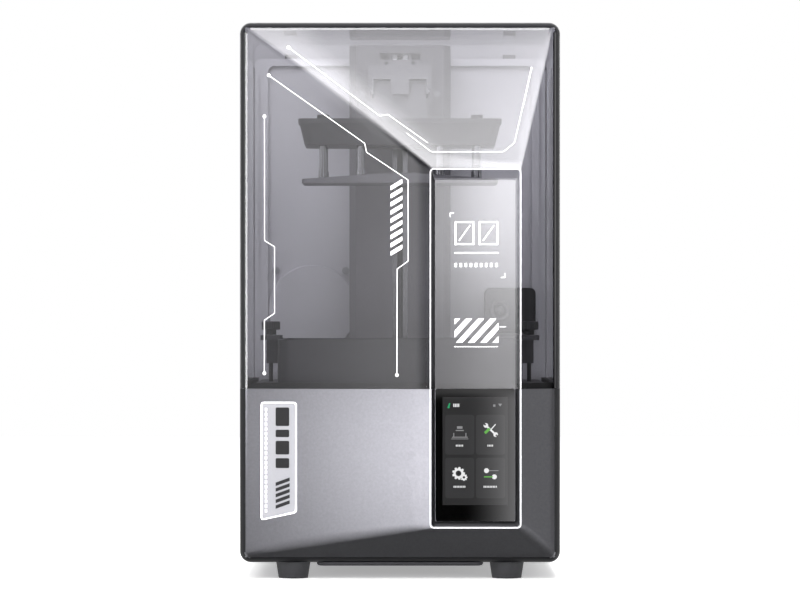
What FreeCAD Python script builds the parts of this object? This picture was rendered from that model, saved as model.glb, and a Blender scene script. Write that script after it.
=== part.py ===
# Desktop resin printer: base with touch panel, tilting vat stage, Z column and flip-up smoked lid.
# Millimetres. X to the right, Y to the back, Z up. Origin under the middle of the printer, on the bench.
import FreeCAD
import Part
import math
import os

Vector = FreeCAD.Vector
os.makedirs("parts", exist_ok=True)

# Outside of the printer
half_width = 130.0
front_y = -134.0
rear_y = 134.0
foot_height = 13.3
top_z = 451.5
split_z = 154.5
corner_radius = 9.0
wall = 3.0
lid_gap = 0.3

# Faceted front: an inner rim line, and a proud window rectangle that the facets rise to
rim_y = -120.0
rim_x = 125.5
rim_low = 18.1
rim_high = 446.6
window_left = 23.8
window_right = 97.9
window_low = 42.1
window_high = 332.7
rim_radius = 4.5

# Sunk panel inside the window rectangle
panel_left = 28.3
panel_right = 93.1
panel_low = 47.5
panel_high = 323.2
panel_y = -129.5
trim_inset = 0.3
trim_width = 1.3
trim_depth = 0.8
glass_thickness = 2.5
screen_left = 34.4
screen_right = 86.9
screen_low = 60.8
screen_high = 148.1

# Lid hinge along the top rear edge
hinge_y = 122.5
hinge_z = 440.0
hinge_bar_radius = 11.5
hinge_seat_radius = 12.0
hinge_ear_x = 95.0
hinge_ear_half = 5.0
hinge_pin_radius = 3.0
running = 0.05

# Column and its slide
column_half = 43.4
column_front = 58.0
column_rear = 101.0
column_top = 445.0
slot_half = 6.65
screw_y = 76.0
screw_radius = 4.0
rail_inner = 2.4
rail_outer = 6.5

# Platform on the arm, shown raised
platform_y = -22.0
tray_low = 354.3
tray_high = 376.1
arm_top = 410.0
arm_front = -29.0
plate_low = 323.0
post_radius = 3.0
post_x = (32.7, 63.7)
post_rows = (-50.0, 6.0)
post_top = 362.0

# Tilting stage with its vat
stage_low = 153.3
stage_high = 158.3
stage_half = 118.0
stage_front = -95.0
stage_rear = 53.0
stage_pivot_y = 62.0
stage_pivot_z = 147.0
pad_low = 147.0
cam_x = -64.0
cam_y = -84.0
cam_drop = 10.2
cam_reach = 14.0
cam_z = pad_low - cam_reach - 1.3
cam_motor_half = 10.0
vat_half = 100.4
vat_front = -89.0
vat_rear = 45.0
vat_top = 193.8
knob_x = 107.9
knob_radius = 7.75


def box(x0, x1, y0, y1, z0, z1):
    return Part.makeBox(x1 - x0, y1 - y0, z1 - z0, Vector(x0, y0, z0))


def rod(x, y, z, radius, length, direction):
    return Part.makeCylinder(radius, length, Vector(x, y, z), Vector(*direction))


def join(pieces):
    whole = pieces[0]
    for piece in pieces[1:]:
        whole = whole.fuse(piece)
    return whole.removeSplitter()


def less(whole, tools):
    for tool in tools:
        whole = whole.cut(tool)
    return whole


def mirrored(shape):
    return shape.mirror(Vector(0, 0, 0), Vector(1, 0, 0))


def along(edge, axis):
    if edge.Curve.TypeId != "Part::GeomLine":
        return False
    return abs(edge.tangentAt(edge.FirstParameter).dot(Vector(*axis))) > 0.999


def rounded_box(x0, x1, y0, y1, z0, z1, radius, axis=(0, 0, 1)):
    block = box(x0, x1, y0, y1, z0, z1)
    return block.makeFillet(radius, [edge for edge in block.Edges if along(edge, axis)])


def prism(points, direction):
    face = Part.Face(Part.makePolygon([Vector(*point) for point in points + points[:1]]))
    return face.extrude(Vector(*direction))


def hull_between(near, far):
    # Straight-sided block between two four-sided outlines with their corners in the same order.
    sides = [near, far]
    for corner in range(4):
        following = (corner + 1) % 4
        sides.append([near[corner], near[following], far[following], far[corner]])
    faces = []
    for side in sides:
        faces.append(Part.Face(Part.makePolygon([Vector(*point) for point in side + side[:1]])))
    solid = Part.makeSolid(Part.makeShell(faces))
    return solid if solid.Volume > 0 else solid.reversed()


def group(solids):
    return Part.makeCompound(solids)


def save(name, shape):
    shape.exportStep("parts/" + name + ".step")
    print(name, shape.isValid(), len(shape.Solids))


# The housing outside, moved inwards by an inset

def side_wedge(rim, window, far, inset):
    # Everything in front of a facet that runs upright, from the rim at the side to the window.
    slope = (front_y - rim_y) / (window - rim)
    shift = inset * math.hypot(1, slope)
    past = window + (window - rim) * 0.3
    ends = [(x, rim_y + slope * (x - rim) + shift) for x in (far, past)]
    points = [(x, y, -10) for x, y in ends] + [(past, -170, -10), (far, -170, -10)]
    return prism(points, (0, 0, 480))


def level_wedge(rim, window, far, inset):
    # The same for a facet that runs level, from the rim at the top or bottom.
    slope = (front_y - rim_y) / (window - rim)
    shift = inset * math.hypot(1, slope)
    past = window + (window - rim) * 0.3
    ends = [(z, rim_y + slope * (z - rim) + shift) for z in (far, past)]
    points = [(-150, y, z) for z, y in ends] + [(-150, -170, past), (-150, -170, far)]
    return prism(points, (300, 0, 0))


def envelope(inset):
    body = rounded_box(-half_width + inset, half_width - inset, front_y + inset, rear_y,
                       foot_height + inset, top_z - inset, corner_radius - inset, (0, 1, 0))
    return less(body, [side_wedge(-rim_x, window_left, -150, inset),
                       side_wedge(rim_x, window_right, 150, inset),
                       level_wedge(rim_high, window_high, 480, inset),
                       level_wedge(rim_low, window_low, -10, inset)])


def outer_housing():
    # Straight body with a rounded rim, and the facets standing inside that rim.
    body = rounded_box(-half_width, half_width, rim_y, rear_y, foot_height, top_z, corner_radius, (0, 1, 0))
    rim = [edge for edge in body.Edges if edge.BoundBox.YMax < rim_y + 0.1]
    body = body.makeFillet(rim_radius, rim)
    inside = rounded_box(-rim_x, rim_x, -150, rim_y + 10, foot_height + rim_radius, top_z - rim_radius,
                         corner_radius - rim_radius, (0, 1, 0))
    return join([body, envelope(0).common(inside)])


def window_block(outer):
    # Wall behind the sunk panel.
    block = box(window_left - 4, window_right + 4, front_y, panel_y + wall, window_low - 4, window_high + 4)
    return block.common(outer)


def window_recess():
    margin = trim_inset + trim_width
    near = [(window_left + margin, window_low + margin), (window_right - margin, window_low + margin),
            (window_right - margin, window_high - margin), (window_left + margin, window_high - margin)]
    far = [(panel_left, panel_low), (panel_right, panel_low),
           (panel_right, panel_high), (panel_left, panel_high)]
    past = (front_y - 1 - panel_y) / (front_y - panel_y)
    outlines = []
    for part in (0, past):
        points = []
        for (near_x, near_z), (far_x, far_z) in zip(near, far):
            points.append((far_x + (near_x - far_x) * part, panel_y + (front_y - panel_y) * part,
                           far_z + (near_z - far_z) * part))
        outlines.append(points)
    return hull_between(*outlines)


def window_trim():
    deep = front_y + trim_depth
    outside = rounded_box(window_left + trim_inset, window_right - trim_inset, front_y, deep,
                          window_low + trim_inset, window_high - trim_inset, 3.0, (0, 1, 0))
    margin = trim_inset + trim_width
    inside = box(window_left + margin, window_right - margin, front_y, deep,
                 window_low + margin, window_high - margin)
    return outside.cut(inside)


outer = outer_housing()
inner = envelope(wall)
trim = window_trim()
recess = window_recess()
above_split = box(-150, 150, -150, 150, split_z + lid_gap, 480)
below_split = box(-150, 150, -150, 150, -1, split_z)

# Base

def badge_blank():
    outline = [(-112.8, 0, 47.9), (-83.4, 0, 54.2), (-83.4, 0, 143.9), (-112.8, 0, 143.9)]
    blank = prism([(x, -140, z) for x, y, z in outline], (0, 30, 0))
    blank = blank.makeFillet(3.0, [edge for edge in blank.Edges if along(edge, (0, 1, 0))])
    return blank.common(outer).cut(envelope(0.8))


def base_shell():
    hollow = inner.common(box(-150, 150, -150, 150, -1, split_z + 1))
    shell = outer.cut(hollow)
    block = window_block(outer)
    shell = join([shell, block]).common(below_split)
    glass_seat = box(panel_left, panel_right, panel_y - 0.1, panel_y + glass_thickness, panel_low, split_z)
    opening = box(screen_left, screen_right, -130, -120, screen_low, screen_high)
    under = box(-62, 62, -56, 56, 10, 18)
    shell = less(shell, [recess, trim, glass_seat, opening, under, badge_blank()])
    bosses = [rod(x, y, 16.3, 6, 8, (0, 0, 1)) for x in (-87, 87) for y in (-98, 98)]
    return join([shell] + bosses)


def rear_panel():
    panel = inner.common(box(-150, 150, rear_y - wall, rear_y, 0, split_z - wall))
    vents = []
    for row in range(9):
        z = 61 + row * 6
        reach = math.sqrt(27 ** 2 - (z - 85) ** 2)
        vents.append(box(-60 - reach, -60 + reach, 130, 135, z - 1.7, z + 1.7))
    inlet = box(66, 94, 130, 135, 40, 60)
    switch = box(36.5, 50.5, 130, 135, 40, 60)
    socket = box(12, 26, 130, 135, 46, 53)
    return less(panel, vents + [inlet, switch, socket])


def power_inlet():
    body = box(66, 94, 112, 134, 40, 60)
    mouth = rounded_box(68, 92, 118, 135, 42, 58, 3, (0, 1, 0))
    pins = [box(x - 1, x + 1, 118, 127.5, z - 2, z + 2) for x, z in ((73.5, 52), (80, 47), (86.5, 52))]
    return join([body.cut(mouth)] + pins)


def bottom_cover():
    plug = box(-62, 62, -56, 56, foot_height, 16.3)
    flange = rounded_box(-68, 68, -62, 62, 10.8, foot_height, 8)
    slots = [box(x - 1.5, x + 1.5, -40, 40, 10, 17) for x in range(-48, 49, 12)]
    return less(join([plug, flange]), slots)


def feet():
    pads = []
    for x in (-87, 87):
        for y in (-98, 98):
            pad = Part.makeCone(12, 14, foot_height, Vector(x, y, 0))
            pad = pad.cut(rod(x, y, -1, 4, 6, (0, 0, 1)))
            pads.append(pad)
    return group(pads)


def touch_glass():
    return box(panel_left, panel_right, panel_y, panel_y + glass_thickness, panel_low, split_z)


def display_module():
    tray = box(30, 91.5, -126.5, -120.5, 54, 150)
    front = box(screen_left, screen_right, panel_y + glass_thickness, -126.5, screen_low, screen_high)
    return join([tray, front])


def switch_rocker():
    barrel = rod(36.9, 130, 50, 1.6, 13.2, (1, 0, 0))
    cap = prism([(38.2, 128, 41.4), (38.2, 132.4, 42), (38.2, 131.6, 50), (38.2, 132.4, 58), (38.2, 128, 58.6)],
                (10.6, 0, 0))
    rocker = join([barrel, cap])
    rocker.rotate(Vector(0, 130, 50), Vector(1, 0, 0), -8)
    return rocker


def switch_frame():
    frame = box(36.5, 50.5, 118, 134, 40, 60)
    well = box(37.6, 49.4, 120, 135, 40.6, 59.4)
    return less(frame, [well, rod(36.8, 130, 50, 1.6 + running, 13.4, (1, 0, 0))])


def card_socket():
    body = box(12, 26, 118, 134, 46, 53)
    mouth = box(12.8, 25.2, 121, 135, 46.8, 52.2)
    tongue = box(13.6, 24.4, 121, 132, 50, 51.4)
    return join([body.cut(mouth), tongue])


def mainboard():
    board = box(-119.6, -118, -60, 70, 36, 122)
    chips = [box(-118, -116.4, -20, 6, 70, 96), box(-118, -115, 20, 34, 60, 74),
             box(-118, -109, -58, -46, 44, 60), box(-118, -109, -40, -28, 44, 60),
             box(-118, -106, 44, 66, 84, 116)]
    return join([board] + chips)


def board_standoffs():
    return group([rod(-half_width + wall, y, z, 3, 7.4, (1, 0, 0)) for y in (-54, 64) for z in (41, 117)])


def fan_frame():
    frame = rounded_box(-90, -30, 106, 131, 55, 115, 4, (0, 1, 0))
    frame = frame.cut(rod(-60, 100, 85, 28.5, 40, (0, 1, 0)))
    spokes = [box(-89, -31, 107, 110, 83.5, 86.5), box(-61.5, -58.5, 107, 110, 56, 114)]
    hub = rod(-60, 106.5, 85, 11, 4, (0, 1, 0))
    return join([frame, hub] + spokes).cut(rod(-60, 100, 85, 2.05, 20, (0, 1, 0)))


def fan_rotor():
    hub = rod(-60, 111, 85, 12, 16, (0, 1, 0))
    axle = rod(-60, 107.5, 85, 2, 4, (0, 1, 0))
    blade = fan_blade()
    blades = []
    for turn in range(7):
        copy = blade.copy()
        copy.rotate(Vector(-60, 0, 85), Vector(0, 1, 0), turn * 360 / 7)
        blades.append(copy)
    return join([hub, axle] + blades)


def fan_blade():
    slant = math.degrees(math.atan2(10, 11))
    blade = box(-49.5, -33.4, 113, 127, 84.2, 85.8)
    blade.rotate(Vector(-49, 119, 85), Vector(1, 0, 0), slant)
    return blade


# Light engine under the stage

def led_heatsink():
    plate = box(-38, 38, -54, 10, 40, 46)
    fins = [box(x - 1, x + 1, -54, 10, 24, 40) for x in range(-36, 37, 8)]
    return join([plate] + fins)


def led_board():
    board = box(-34, 34, -50, 6, 46, 47.6)
    lamps = [rod(x, y, 47.6, 2.6, 1.6, (0, 0, 1)) for x in range(-28, 29, 8) for y in range(-46, 3, 8)]
    return join([board] + lamps)


def straight_funnel(low, high):
    outlines = []
    for half_x, half_y, z in (low, high):
        outlines.append([(-half_x, platform_y - half_y, z), (half_x, platform_y - half_y, z),
                         (half_x, platform_y + half_y, z), (-half_x, platform_y + half_y, z)])
    return hull_between(*outlines)


def light_hood():
    outside = straight_funnel((38, 30, 52), (84, 47, 138))
    inside = straight_funnel((36, 28, 52), (82, 45, 138))
    hood = outside.cut(inside)
    foot = box(-42, 42, -56, 12, 46, 52).cut(box(-36, 36, -51, 7, 45, 53))
    legs = [box(x - 3, x + 3, y - 3, y + 3, 16.3, 46) for x in (-46, 46) for y in (-50, 6)]
    arms = [box(x0, x1, y - 3, y + 3, 46, 52) for x0, x1 in ((-49, -42), (42, 49)) for y in (-50, 6)]
    return join([hood, foot] + arms + legs)


def collimating_lens():
    return box(-83, 83, -68, 24, 138, 140)


# Tilting stage

def tilt_stage():
    plate = rounded_box(-stage_half, stage_half, stage_front, stage_rear, stage_low, stage_high, 6)
    window = box(-78, 78, -64, 20, 150, 160)
    seat = box(-86, 86, -70, 26, 155.3, 160)
    ears = []
    for x in (-92, 92):
        arm = prism([(x - 6, 40, stage_low), (x - 6, 40, 141), (x - 6, 68, 141), (x - 6, 68, 152),
                     (x - 6, 60, stage_low)], (12, 0, 0))
        ears.append(arm)
    pad = box(cam_x - 8, cam_x + 8, cam_y - 6, cam_y + 6, pad_low, stage_low)
    whole = join([plate, pad] + ears)
    bores = [rod(x - 7, stage_pivot_y, stage_pivot_z, 3, 14, (1, 0, 0)) for x in (-92, 92)]
    screws = [rod(x, platform_y, 150, 1.75 + running, 20, (0, 0, 1)) for x in (-knob_x, knob_x)]
    return less(whole, [window, seat] + bores + screws)


def mask_screen():
    return box(-86, 86, -70, 26, 155.3, 157.3)


def screen_glass():
    return box(-86, 86, -70, 26, 157.3, stage_high)


def stage_hinge_pins():
    return group([rod(x - 13, stage_pivot_y, stage_pivot_z, 3, 26, (1, 0, 0)) for x in (-92, 92)])


def stage_brackets():
    cheeks = []
    for x in (-92, 92):
        for side in (-1, 1):
            middle = x + side * 9.5
            cheek = box(middle - 2.5, middle + 2.5, 54, 72, 132, 151.5)
            foot = box(middle - 2.5, middle + 2.5, 72, 76, 120, 151.5)
            cheek = join([cheek, foot])
            cheeks.append(cheek.cut(rod(middle - 3, stage_pivot_y, stage_pivot_z, 3 + running, 6, (1, 0, 0))))
    return group(cheeks)


def tilt_cam():
    # Snail cam: its reach falls in step with its turn, so the stage sinks evenly.
    points = []
    for step in range(37):
        turn = step * 5
        reach = cam_reach - cam_drop * turn / 180
        points.append((reach * math.sin(math.radians(turn)), reach * math.cos(math.radians(turn))))
    low = cam_reach - cam_drop
    for step in range(1, 8):
        turn = 180 + step * 20
        points.append((low * math.sin(math.radians(turn)), low * math.cos(math.radians(turn))))
    outline = [(cam_x - 5, cam_y + y, cam_z + z) for y, z in points]
    cam = prism(outline, (10, 0, 0))
    return join([cam, rod(cam_x - 20, cam_y, cam_z, 2.5, 25, (1, 0, 0))])


def tilt_motor():
    half = cam_motor_half
    body = box(-106, -74, cam_y - half, cam_y + half, cam_z - half, cam_z + half)
    body = body.makeChamfer(2.5, [edge for edge in body.Edges if along(edge, (1, 0, 0))])
    foot = box(-104, -76, cam_y - 8, cam_y + 8, 16.3, cam_z - half)
    foot = foot.cut(box(-110, -70, cam_y - 5, cam_y + 5, 22, cam_z - half - 5))
    collar = rod(-74, cam_y, cam_z, 7, 1, (1, 0, 0))
    return join([body, foot, collar]).cut(rod(cam_x - 20.3, cam_y, cam_z, 2.5 + running, 20, (1, 0, 0)))


# Vat

def vat_body():
    outside = rounded_box(-vat_half, vat_half, vat_front, vat_rear, stage_high, vat_top, 10)
    inside = rounded_box(-vat_half + 4, vat_half - 4, vat_front + 4, vat_rear - 4, 166, 200, 8)
    film_hole = rounded_box(-87, 87, -71, 27, 150, 170, 4)
    frame_seat = rounded_box(-94, 94, -80, 36, 150, 161.6, 5)
    groove = rounded_box(-vat_half - 1, vat_half + 1, vat_front - 1, vat_rear + 1, 188.2, 189.4, 10)
    groove = groove.cut(rounded_box(-vat_half + 0.8, vat_half - 0.8, vat_front + 0.8, vat_rear - 0.8, 188, 190, 9))
    tub = less(outside, [inside, film_hole, frame_seat, groove])
    lugs = []
    for side in (-1, 1):
        reach = sorted((side * (vat_half - 2), side * 116))
        flange = rounded_box(reach[0], reach[1], platform_y - 16, platform_y + 16, 193, 197, 1.6)
        sleeve_span = sorted((side * (vat_half - 1), side * 111.4))
        sleeve = box(sleeve_span[0], sleeve_span[1], platform_y - 7, platform_y + 7, 173.6, 195)
        lugs += [flange, sleeve]
    clear = box(-vat_half + 4, vat_half - 4, vat_front + 4, vat_rear - 4, 166, 200)
    whole = join([tub] + [lug.cut(clear) for lug in lugs])
    bores = [rod(side * knob_x, platform_y, 170, 1.75 + running, 30, (0, 0, 1)) for side in (-1, 1)]
    return less(whole, bores)


def vat_knob(side):
    x = side * knob_x
    cap = rod(x, platform_y, 201.5, knob_radius, 6.9, (0, 0, 1))
    cap = cap.makeFillet(0.9, [edge for edge in cap.Edges if edge.Curve.TypeId == "Part::GeomCircle"])
    flutes = []
    for turn in range(24):
        angle = math.radians(turn * 15)
        flutes.append(rod(x + 8.15 * math.cos(angle), platform_y + 8.15 * math.sin(angle), 200, 0.65, 10, (0, 0, 1)))
    collar = rod(x, platform_y, 197.3, 4.5, 4.4, (0, 0, 1))
    shaft = rod(x, platform_y, 154.3, 1.75, 48, (0, 0, 1))
    return join([less(cap, flutes), collar, shaft])


def film_frame():
    ring = rounded_box(-94, 94, -80, 36, stage_high, 161.3, 5)
    return ring.cut(rounded_box(-88, 88, -72, 28, 150, 170, 4))


def release_film():
    return rounded_box(-94, 94, -80, 36, 161.3, 161.6, 5)


# Column with slide and screw

def column_housing():
    body = box(-column_half, column_half, column_front, column_rear, split_z, column_top)
    front_edges = [edge for edge in body.Edges if along(edge, (0, 0, 1)) and edge.BoundBox.YMax < 60]
    body = body.makeChamfer(5.5, front_edges)
    top_edges = [edge for edge in body.Edges if edge.BoundBox.ZMin > column_top - 0.1]
    body = body.makeFillet(1.2, top_edges)
    hollow = box(-column_half + 3, column_half - 3, column_front + 3, column_rear - 3, split_z, column_top - 3)
    keep = prism([(-column_half, column_front, 0), (-column_half + 8.5, column_front, 0),
                  (-column_half, column_front + 8.5, 0)], (0, 0, 500))
    hollow = less(hollow, [keep, mirrored(keep)])
    slot = box(-slot_half, slot_half, column_front - 1, column_front + 4, 170, 437)
    mouth = box(-17.5, 17.5, column_front - 1, column_front + 4, 424, 438)
    seams = [box(x - 0.4, x + 0.4, column_front - 1, column_front + 0.7, split_z, column_top + 1) for x in (-17, 17)]
    holes = [rod(x, column_front - 1, z, 1.5, 6, (0, 1, 0)) for x in (-31.4, 31.4) for z in (190, 403)]
    return less(body, [hollow, slot, mouth] + seams + holes)


def column_frame():
    plates = [box(x0, x1, column_front + 3, column_rear - 3, split_z, 440) for x0, x1 in ((-9.5, -6.5), (6.5, 9.5))]
    top = box(-9.5, 9.5, column_front + 3, column_rear - 3, 437, 441)
    foot = box(-30, 30, 64, column_rear - 3, split_z, 157.5)
    bore = rod(0, screw_y, 430, screw_radius + running, 20, (0, 0, 1))
    hole = rod(0, screw_y, 150, 11, 17.5, (0, 0, 1))
    return less(join(plates + [top, foot]), [bore, hole])


def guide_rails():
    rails = []
    for side in (-1, 1):
        span = sorted((side * rail_inner, side * rail_outer))
        rail = box(span[0], span[1], column_front + 3, column_front + 11, 170, 437)
        groove = box(span[0] - 1, span[1] + 1, column_front + 6, column_front + 8, 169, 438)
        cheek = box(min(side * 4, side * 7), max(side * 4, side * 7), column_front, column_front + 20, 160, 440)
        rails.append(rail.cut(groove.cut(cheek)))
    return group(rails)


def lead_screw():
    return rod(0, screw_y, 152, screw_radius, 288, (0, 0, 1))


def screw_coupling():
    sleeve = rod(0, screw_y, 147.2, 9.5, 18, (0, 0, 1))
    slots = [box(-10, 10, screw_y - 10, screw_y + 10, z, z + 0.8).cut(rod(0, screw_y, z - 1, 6.5, 3, (0, 0, 1)))
             for z in (153, 156, 159)]
    bore = rod(0, screw_y, 152, screw_radius, 20, (0, 0, 1))
    lower = rod(0, screw_y, 140, 2.5, 12, (0, 0, 1))
    return less(sleeve, slots + [bore, lower])


def z_motor():
    body = box(-21, 21, screw_y - 21, screw_y + 21, 104, 146)
    body = body.makeChamfer(4, [edge for edge in body.Edges if along(edge, (0, 0, 1))])
    boss = rod(0, screw_y, 146, 11, 0.8, (0, 0, 1))
    posts = [rod(x, screw_y + y, 146, 2.5, 5.5, (0, 0, 1)) for x in (-15.5, 15.5) for y in (-15.5, 15.5)]
    bore = rod(0, screw_y, 135, 2.5 + running, 20, (0, 0, 1))
    return join([body, boss] + posts).cut(bore)


def screw_shaft():
    return rod(0, screw_y, 136, 2.5, 16, (0, 0, 1))


# Carriage and arm

def carriage():
    plate = rounded_box(-27.3, 27.3, 50, 57.5, 374, 427.5, 3, (0, 1, 0))
    tongue = box(-17, 17, 54.5, 57.5, 420, 432)
    web = box(-2, 2, 57.5, 71, 380, 416)
    grips = [box(-6.1, 6.1, 57.5, 60.6, 380, 416)]
    block = box(-6.1, 6.1, 70.5, 82.5, 380, 416)
    nut_hole = rod(0, screw_y, 370, 5.4, 60, (0, 0, 1))
    holes = [rod(x, 53, 429.6, 1, 4.5, (0, 1, 0)) for x in (-11.6, 11.6)]
    return less(join([plate, tongue, web, block] + grips), [nut_hole] + holes)


def screw_nut():
    body = rod(0, screw_y, 380, 5.4, 36, (0, 0, 1))
    return body.cut(rod(0, screw_y, 370, screw_radius + running, 60, (0, 0, 1)))


def arm():
    section = [(-23.4, 50, tray_high), (23.4, 50, tray_high), (23.4, 50, 380), (21.5, 50, 394),
               (21.5, 50, arm_top), (-21.5, 50, arm_top), (-21.5, 50, 394), (-23.4, 50, 380)]
    block = prism(section, (0, arm_front - 50, 0))
    front_top = [edge for edge in block.Edges if edge.BoundBox.ZMin > arm_top - 0.1
                 and edge.BoundBox.YMax < arm_front + 0.1]
    block = block.makeFillet(2.5, front_top)
    under = box(-17, 17, 26, 44, 370, 398)
    bore = rod(-30, 8, 402, post_radius + running, 60, (1, 0, 0))
    return less(block, [under, bore])


def latch_lever():
    span = 23.6
    leg = prism([(span - 1.7, -33, 398), (span - 1.7, -33, 411), (span - 1.7, -8, 416), (span - 1.7, 13, 405),
                 (span - 1.7, 13, 398), (span - 1.7, 8, 396.5), (span - 1.7, -10, 402), (span - 1.7, -26, 404)],
                (1.7, 0, 0))
    top = box(-span, span, -33, -9, arm_top + 0.4, 416)
    arch = Part.makeCylinder(75, 24, Vector(0, -33, 341), Vector(0, 1, 0))
    top = top.common(arch)
    tab = prism([(-8.2, -33, 412), (-6.8, -33, 398), (6.8, -33, 398), (8.2, -33, 412)], (0, 3.5, 0))
    leg = leg.common(box(0, 60, -33, 20, 390, 412.4))
    whole = join([top, tab, leg, mirrored(leg)])
    return whole.cut(rod(-30, 8, 402, post_radius, 60, (1, 0, 0)))


def latch_pin():
    return rod(-24.8, 8, 402, post_radius, 49.6, (1, 0, 0))


# Platform

def platform_tray():
    layers = []
    for half_x, half_y, z in ((78.8, 39.4, tray_low), (83, 42.6, 372)):
        face = rounded_box(-half_x, half_x, platform_y - half_y, platform_y + half_y, z, z + 1, 9)
        layers.append([part for part in face.Faces if part.BoundBox.ZMax < z + 0.01][0].OuterWire)
    bowl = Part.makeLoft(layers, True, True)
    lip = rounded_box(-84, 84, platform_y - 43.5, platform_y + 43.5, 372, tray_high, 9)
    tray = join([bowl, lip])
    pocket = rounded_box(-20, 20, platform_y - 26, platform_y + 26, 350, 366, 6)
    bores = [rod(side * x, y, 350, post_radius + running, 22, (0, 0, 1))
             for side in (-1, 1) for x in post_x for y in post_rows]
    cups = [rod(side * 63.7, y, 374.6, 5, 3, (0, 0, 1)) for side in (-1, 1) for y in post_rows]
    return less(tray, [pocket] + bores + cups)


def bolt_head(x, y, z, radius, height, direction):
    head = rod(x, y, z, radius, height, direction)
    reach = Vector(*direction)
    top = Vector(x, y, z) + reach * (height * 0.45)
    socket = Part.makePolygon([top + turned(radius * 0.5, angle, direction) for angle in range(0, 361, 60)])
    return head.cut(Part.Face(socket).extrude(reach * height))


def turned(radius, angle, direction):
    across = radius * math.cos(math.radians(angle))
    up = radius * math.sin(math.radians(angle))
    return Vector(across, up, 0) if direction[2] else Vector(across, 0, up)


def carriage_bolts():
    bolts = [bolt_head(side * 63.7, y, 374.6, 5, 5, (0, 0, 1)) for side in (-1, 1) for y in post_rows]
    for x in (-11.6, 11.6):
        head = bolt_head(x, 54.5, 429.6, 1.9, 1.4, (0, -1, 0))
        bolts.append(join([head, rod(x, 54.5, 429.6, 1, 3, (0, 1, 0))]))
    return group(bolts)


def build_plate():
    section = [(-81, -65, plate_low), (81, -65, plate_low), (81, -65, 326.2), (12, -65, 331), (-12, -65, 331),
               (-81, -65, 326.2)]
    block = prism(section, (0, 87, 0))
    corners = [edge for edge in block.Edges if along(edge, (0, 0, 1))]
    return block.makeFillet(4, corners)


def guide_posts(plate):
    posts = []
    for side in (-1, 1):
        for x in post_x:
            for y in post_rows:
                post = rod(side * x, y, 325, post_radius, post_top - 325, (0, 0, 1))
                collar = rod(side * x, y, 325, 3.7, 9.5, (0, 0, 1))
                posts.append(join([post, collar]).cut(plate))
    return group(posts)


def levelling_springs():
    springs = []
    coil = Part.makeHelix(2.3, 9.1, 2.1)
    start = Part.Wire(Part.makeCircle(0.4, Vector(2.1, 0, 0), Vector(0, 1, 0)))
    spring = Part.Wire(coil.Edges).makePipeShell([start], True, True)
    for side in (-1, 1):
        for x in post_x:
            for y in post_rows:
                copy = spring.copy()
                copy.translate(Vector(side * x, y, post_top + 0.42))
                springs.append(copy)
    return group(springs)


# Rear wall, cover, vent and camera

def rear_wall():
    plate = rounded_box(-126.4, 126.4, 103, 106, split_z, 436, 6, (0, 1, 0))
    ring = rounded_box(-121.1, 121.1, 100, 103, 160, 434.6, 8, (0, 1, 0))
    ring = ring.cut(rounded_box(-114.5, 114.5, 99, 104, 165, 429.7, 5, (0, 1, 0)))
    sides = [box(x0, x1, 106, 123, split_z, 424) for x0, x1 in ((-126.4, -123.4), (123.4, 126.4))]
    roof = box(-126.4, 126.4, 106, 123, 421, 424)
    ledges = [box(x0, x1, 92, 103, split_z, 164) for x0, x1 in ((-121.1, -45), (45, 121.1))]
    vent = rod(-76, 90, 218.6, 34, 20, (0, 1, 0))
    column = box(-column_half - 0.2, column_half + 0.2, 90, column_rear, split_z - 1, column_top)
    return less(join([plate, ring, roof] + sides + ledges), [vent, column])


def rear_cover():
    body = rounded_box(-half_width, half_width, 110, rear_y, 0, top_z, corner_radius, (0, 1, 0))
    body = body.common(box(-150, 150, 123, 150, split_z, 446))
    hollow = box(-127, 127, 120, 131, split_z, 424)
    bar = rod(-140, hinge_y, hinge_z, hinge_seat_radius, 280, (1, 0, 0))
    vents = [box(-101, -51, 130, 135, z - 1.6, z + 1.6) for z in range(196, 243, 7)]
    body = less(body, [hollow, bar, box(-150, 150, 120, 140, 436, 460)] + vents)
    ears = []
    for x in (-hinge_ear_x, hinge_ear_x):
        round_end = rod(x - hinge_ear_half, hinge_y, hinge_z, 9.5, 2 * hinge_ear_half, (1, 0, 0))
        neck = box(x - hinge_ear_half, x + hinge_ear_half, 115, 131, 424, hinge_z)
        neck = neck.common(rod(x - 9, hinge_y, hinge_z, 20, 18, (1, 0, 0)))
        ear = join([round_end, neck])
        ears.append(ear.cut(rod(x - 9, hinge_y, hinge_z, hinge_pin_radius + running, 18, (1, 0, 0))))
    return join([body] + ears)


def filter_cover():
    # Plain round cap over the air duct; the air goes in through the slots round its skirt.
    disc = rod(-76, 99.5, 218.6, 38.2, 3.5, (0, 1, 0))
    disc = disc.makeChamfer(0.6, [edge for edge in disc.Edges if edge.BoundBox.YMax < 99.6])
    hollow = rod(-76, 101, 218.6, 34, 2.7, (0, 1, 0))
    column = box(-column_half - 0.4, column_half + 0.4, 90, column_rear + 0.2, 150, 300)
    slots = [box(-120, -100, 101.4, 104, 218.6 + z - 2, 218.6 + z + 2) for z in (-12, -4, 4, 12)]
    return less(disc, [hollow, column] + slots)


def wall_screws():
    screws = [bolt_head(x, 103, z, 3.2, 2.4, (0, -1, 0)) for x in (-107.8, -47.2) for z in (185.4, 251.8)]
    for x in (-31.4, 31.4):
        for z in (190, 403):
            head = bolt_head(x, column_front, z, 2.6, 1.6, (0, -1, 0))
            screws.append(join([head, rod(x, column_front, z, 1.5, 3, (0, 1, 0))]))
    for x in (-104, -62, 62, 104):
        screws.append(bolt_head(x, 97, 164, 2.6, 1.8, (0, 0, 1)))
    return group(screws)


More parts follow.
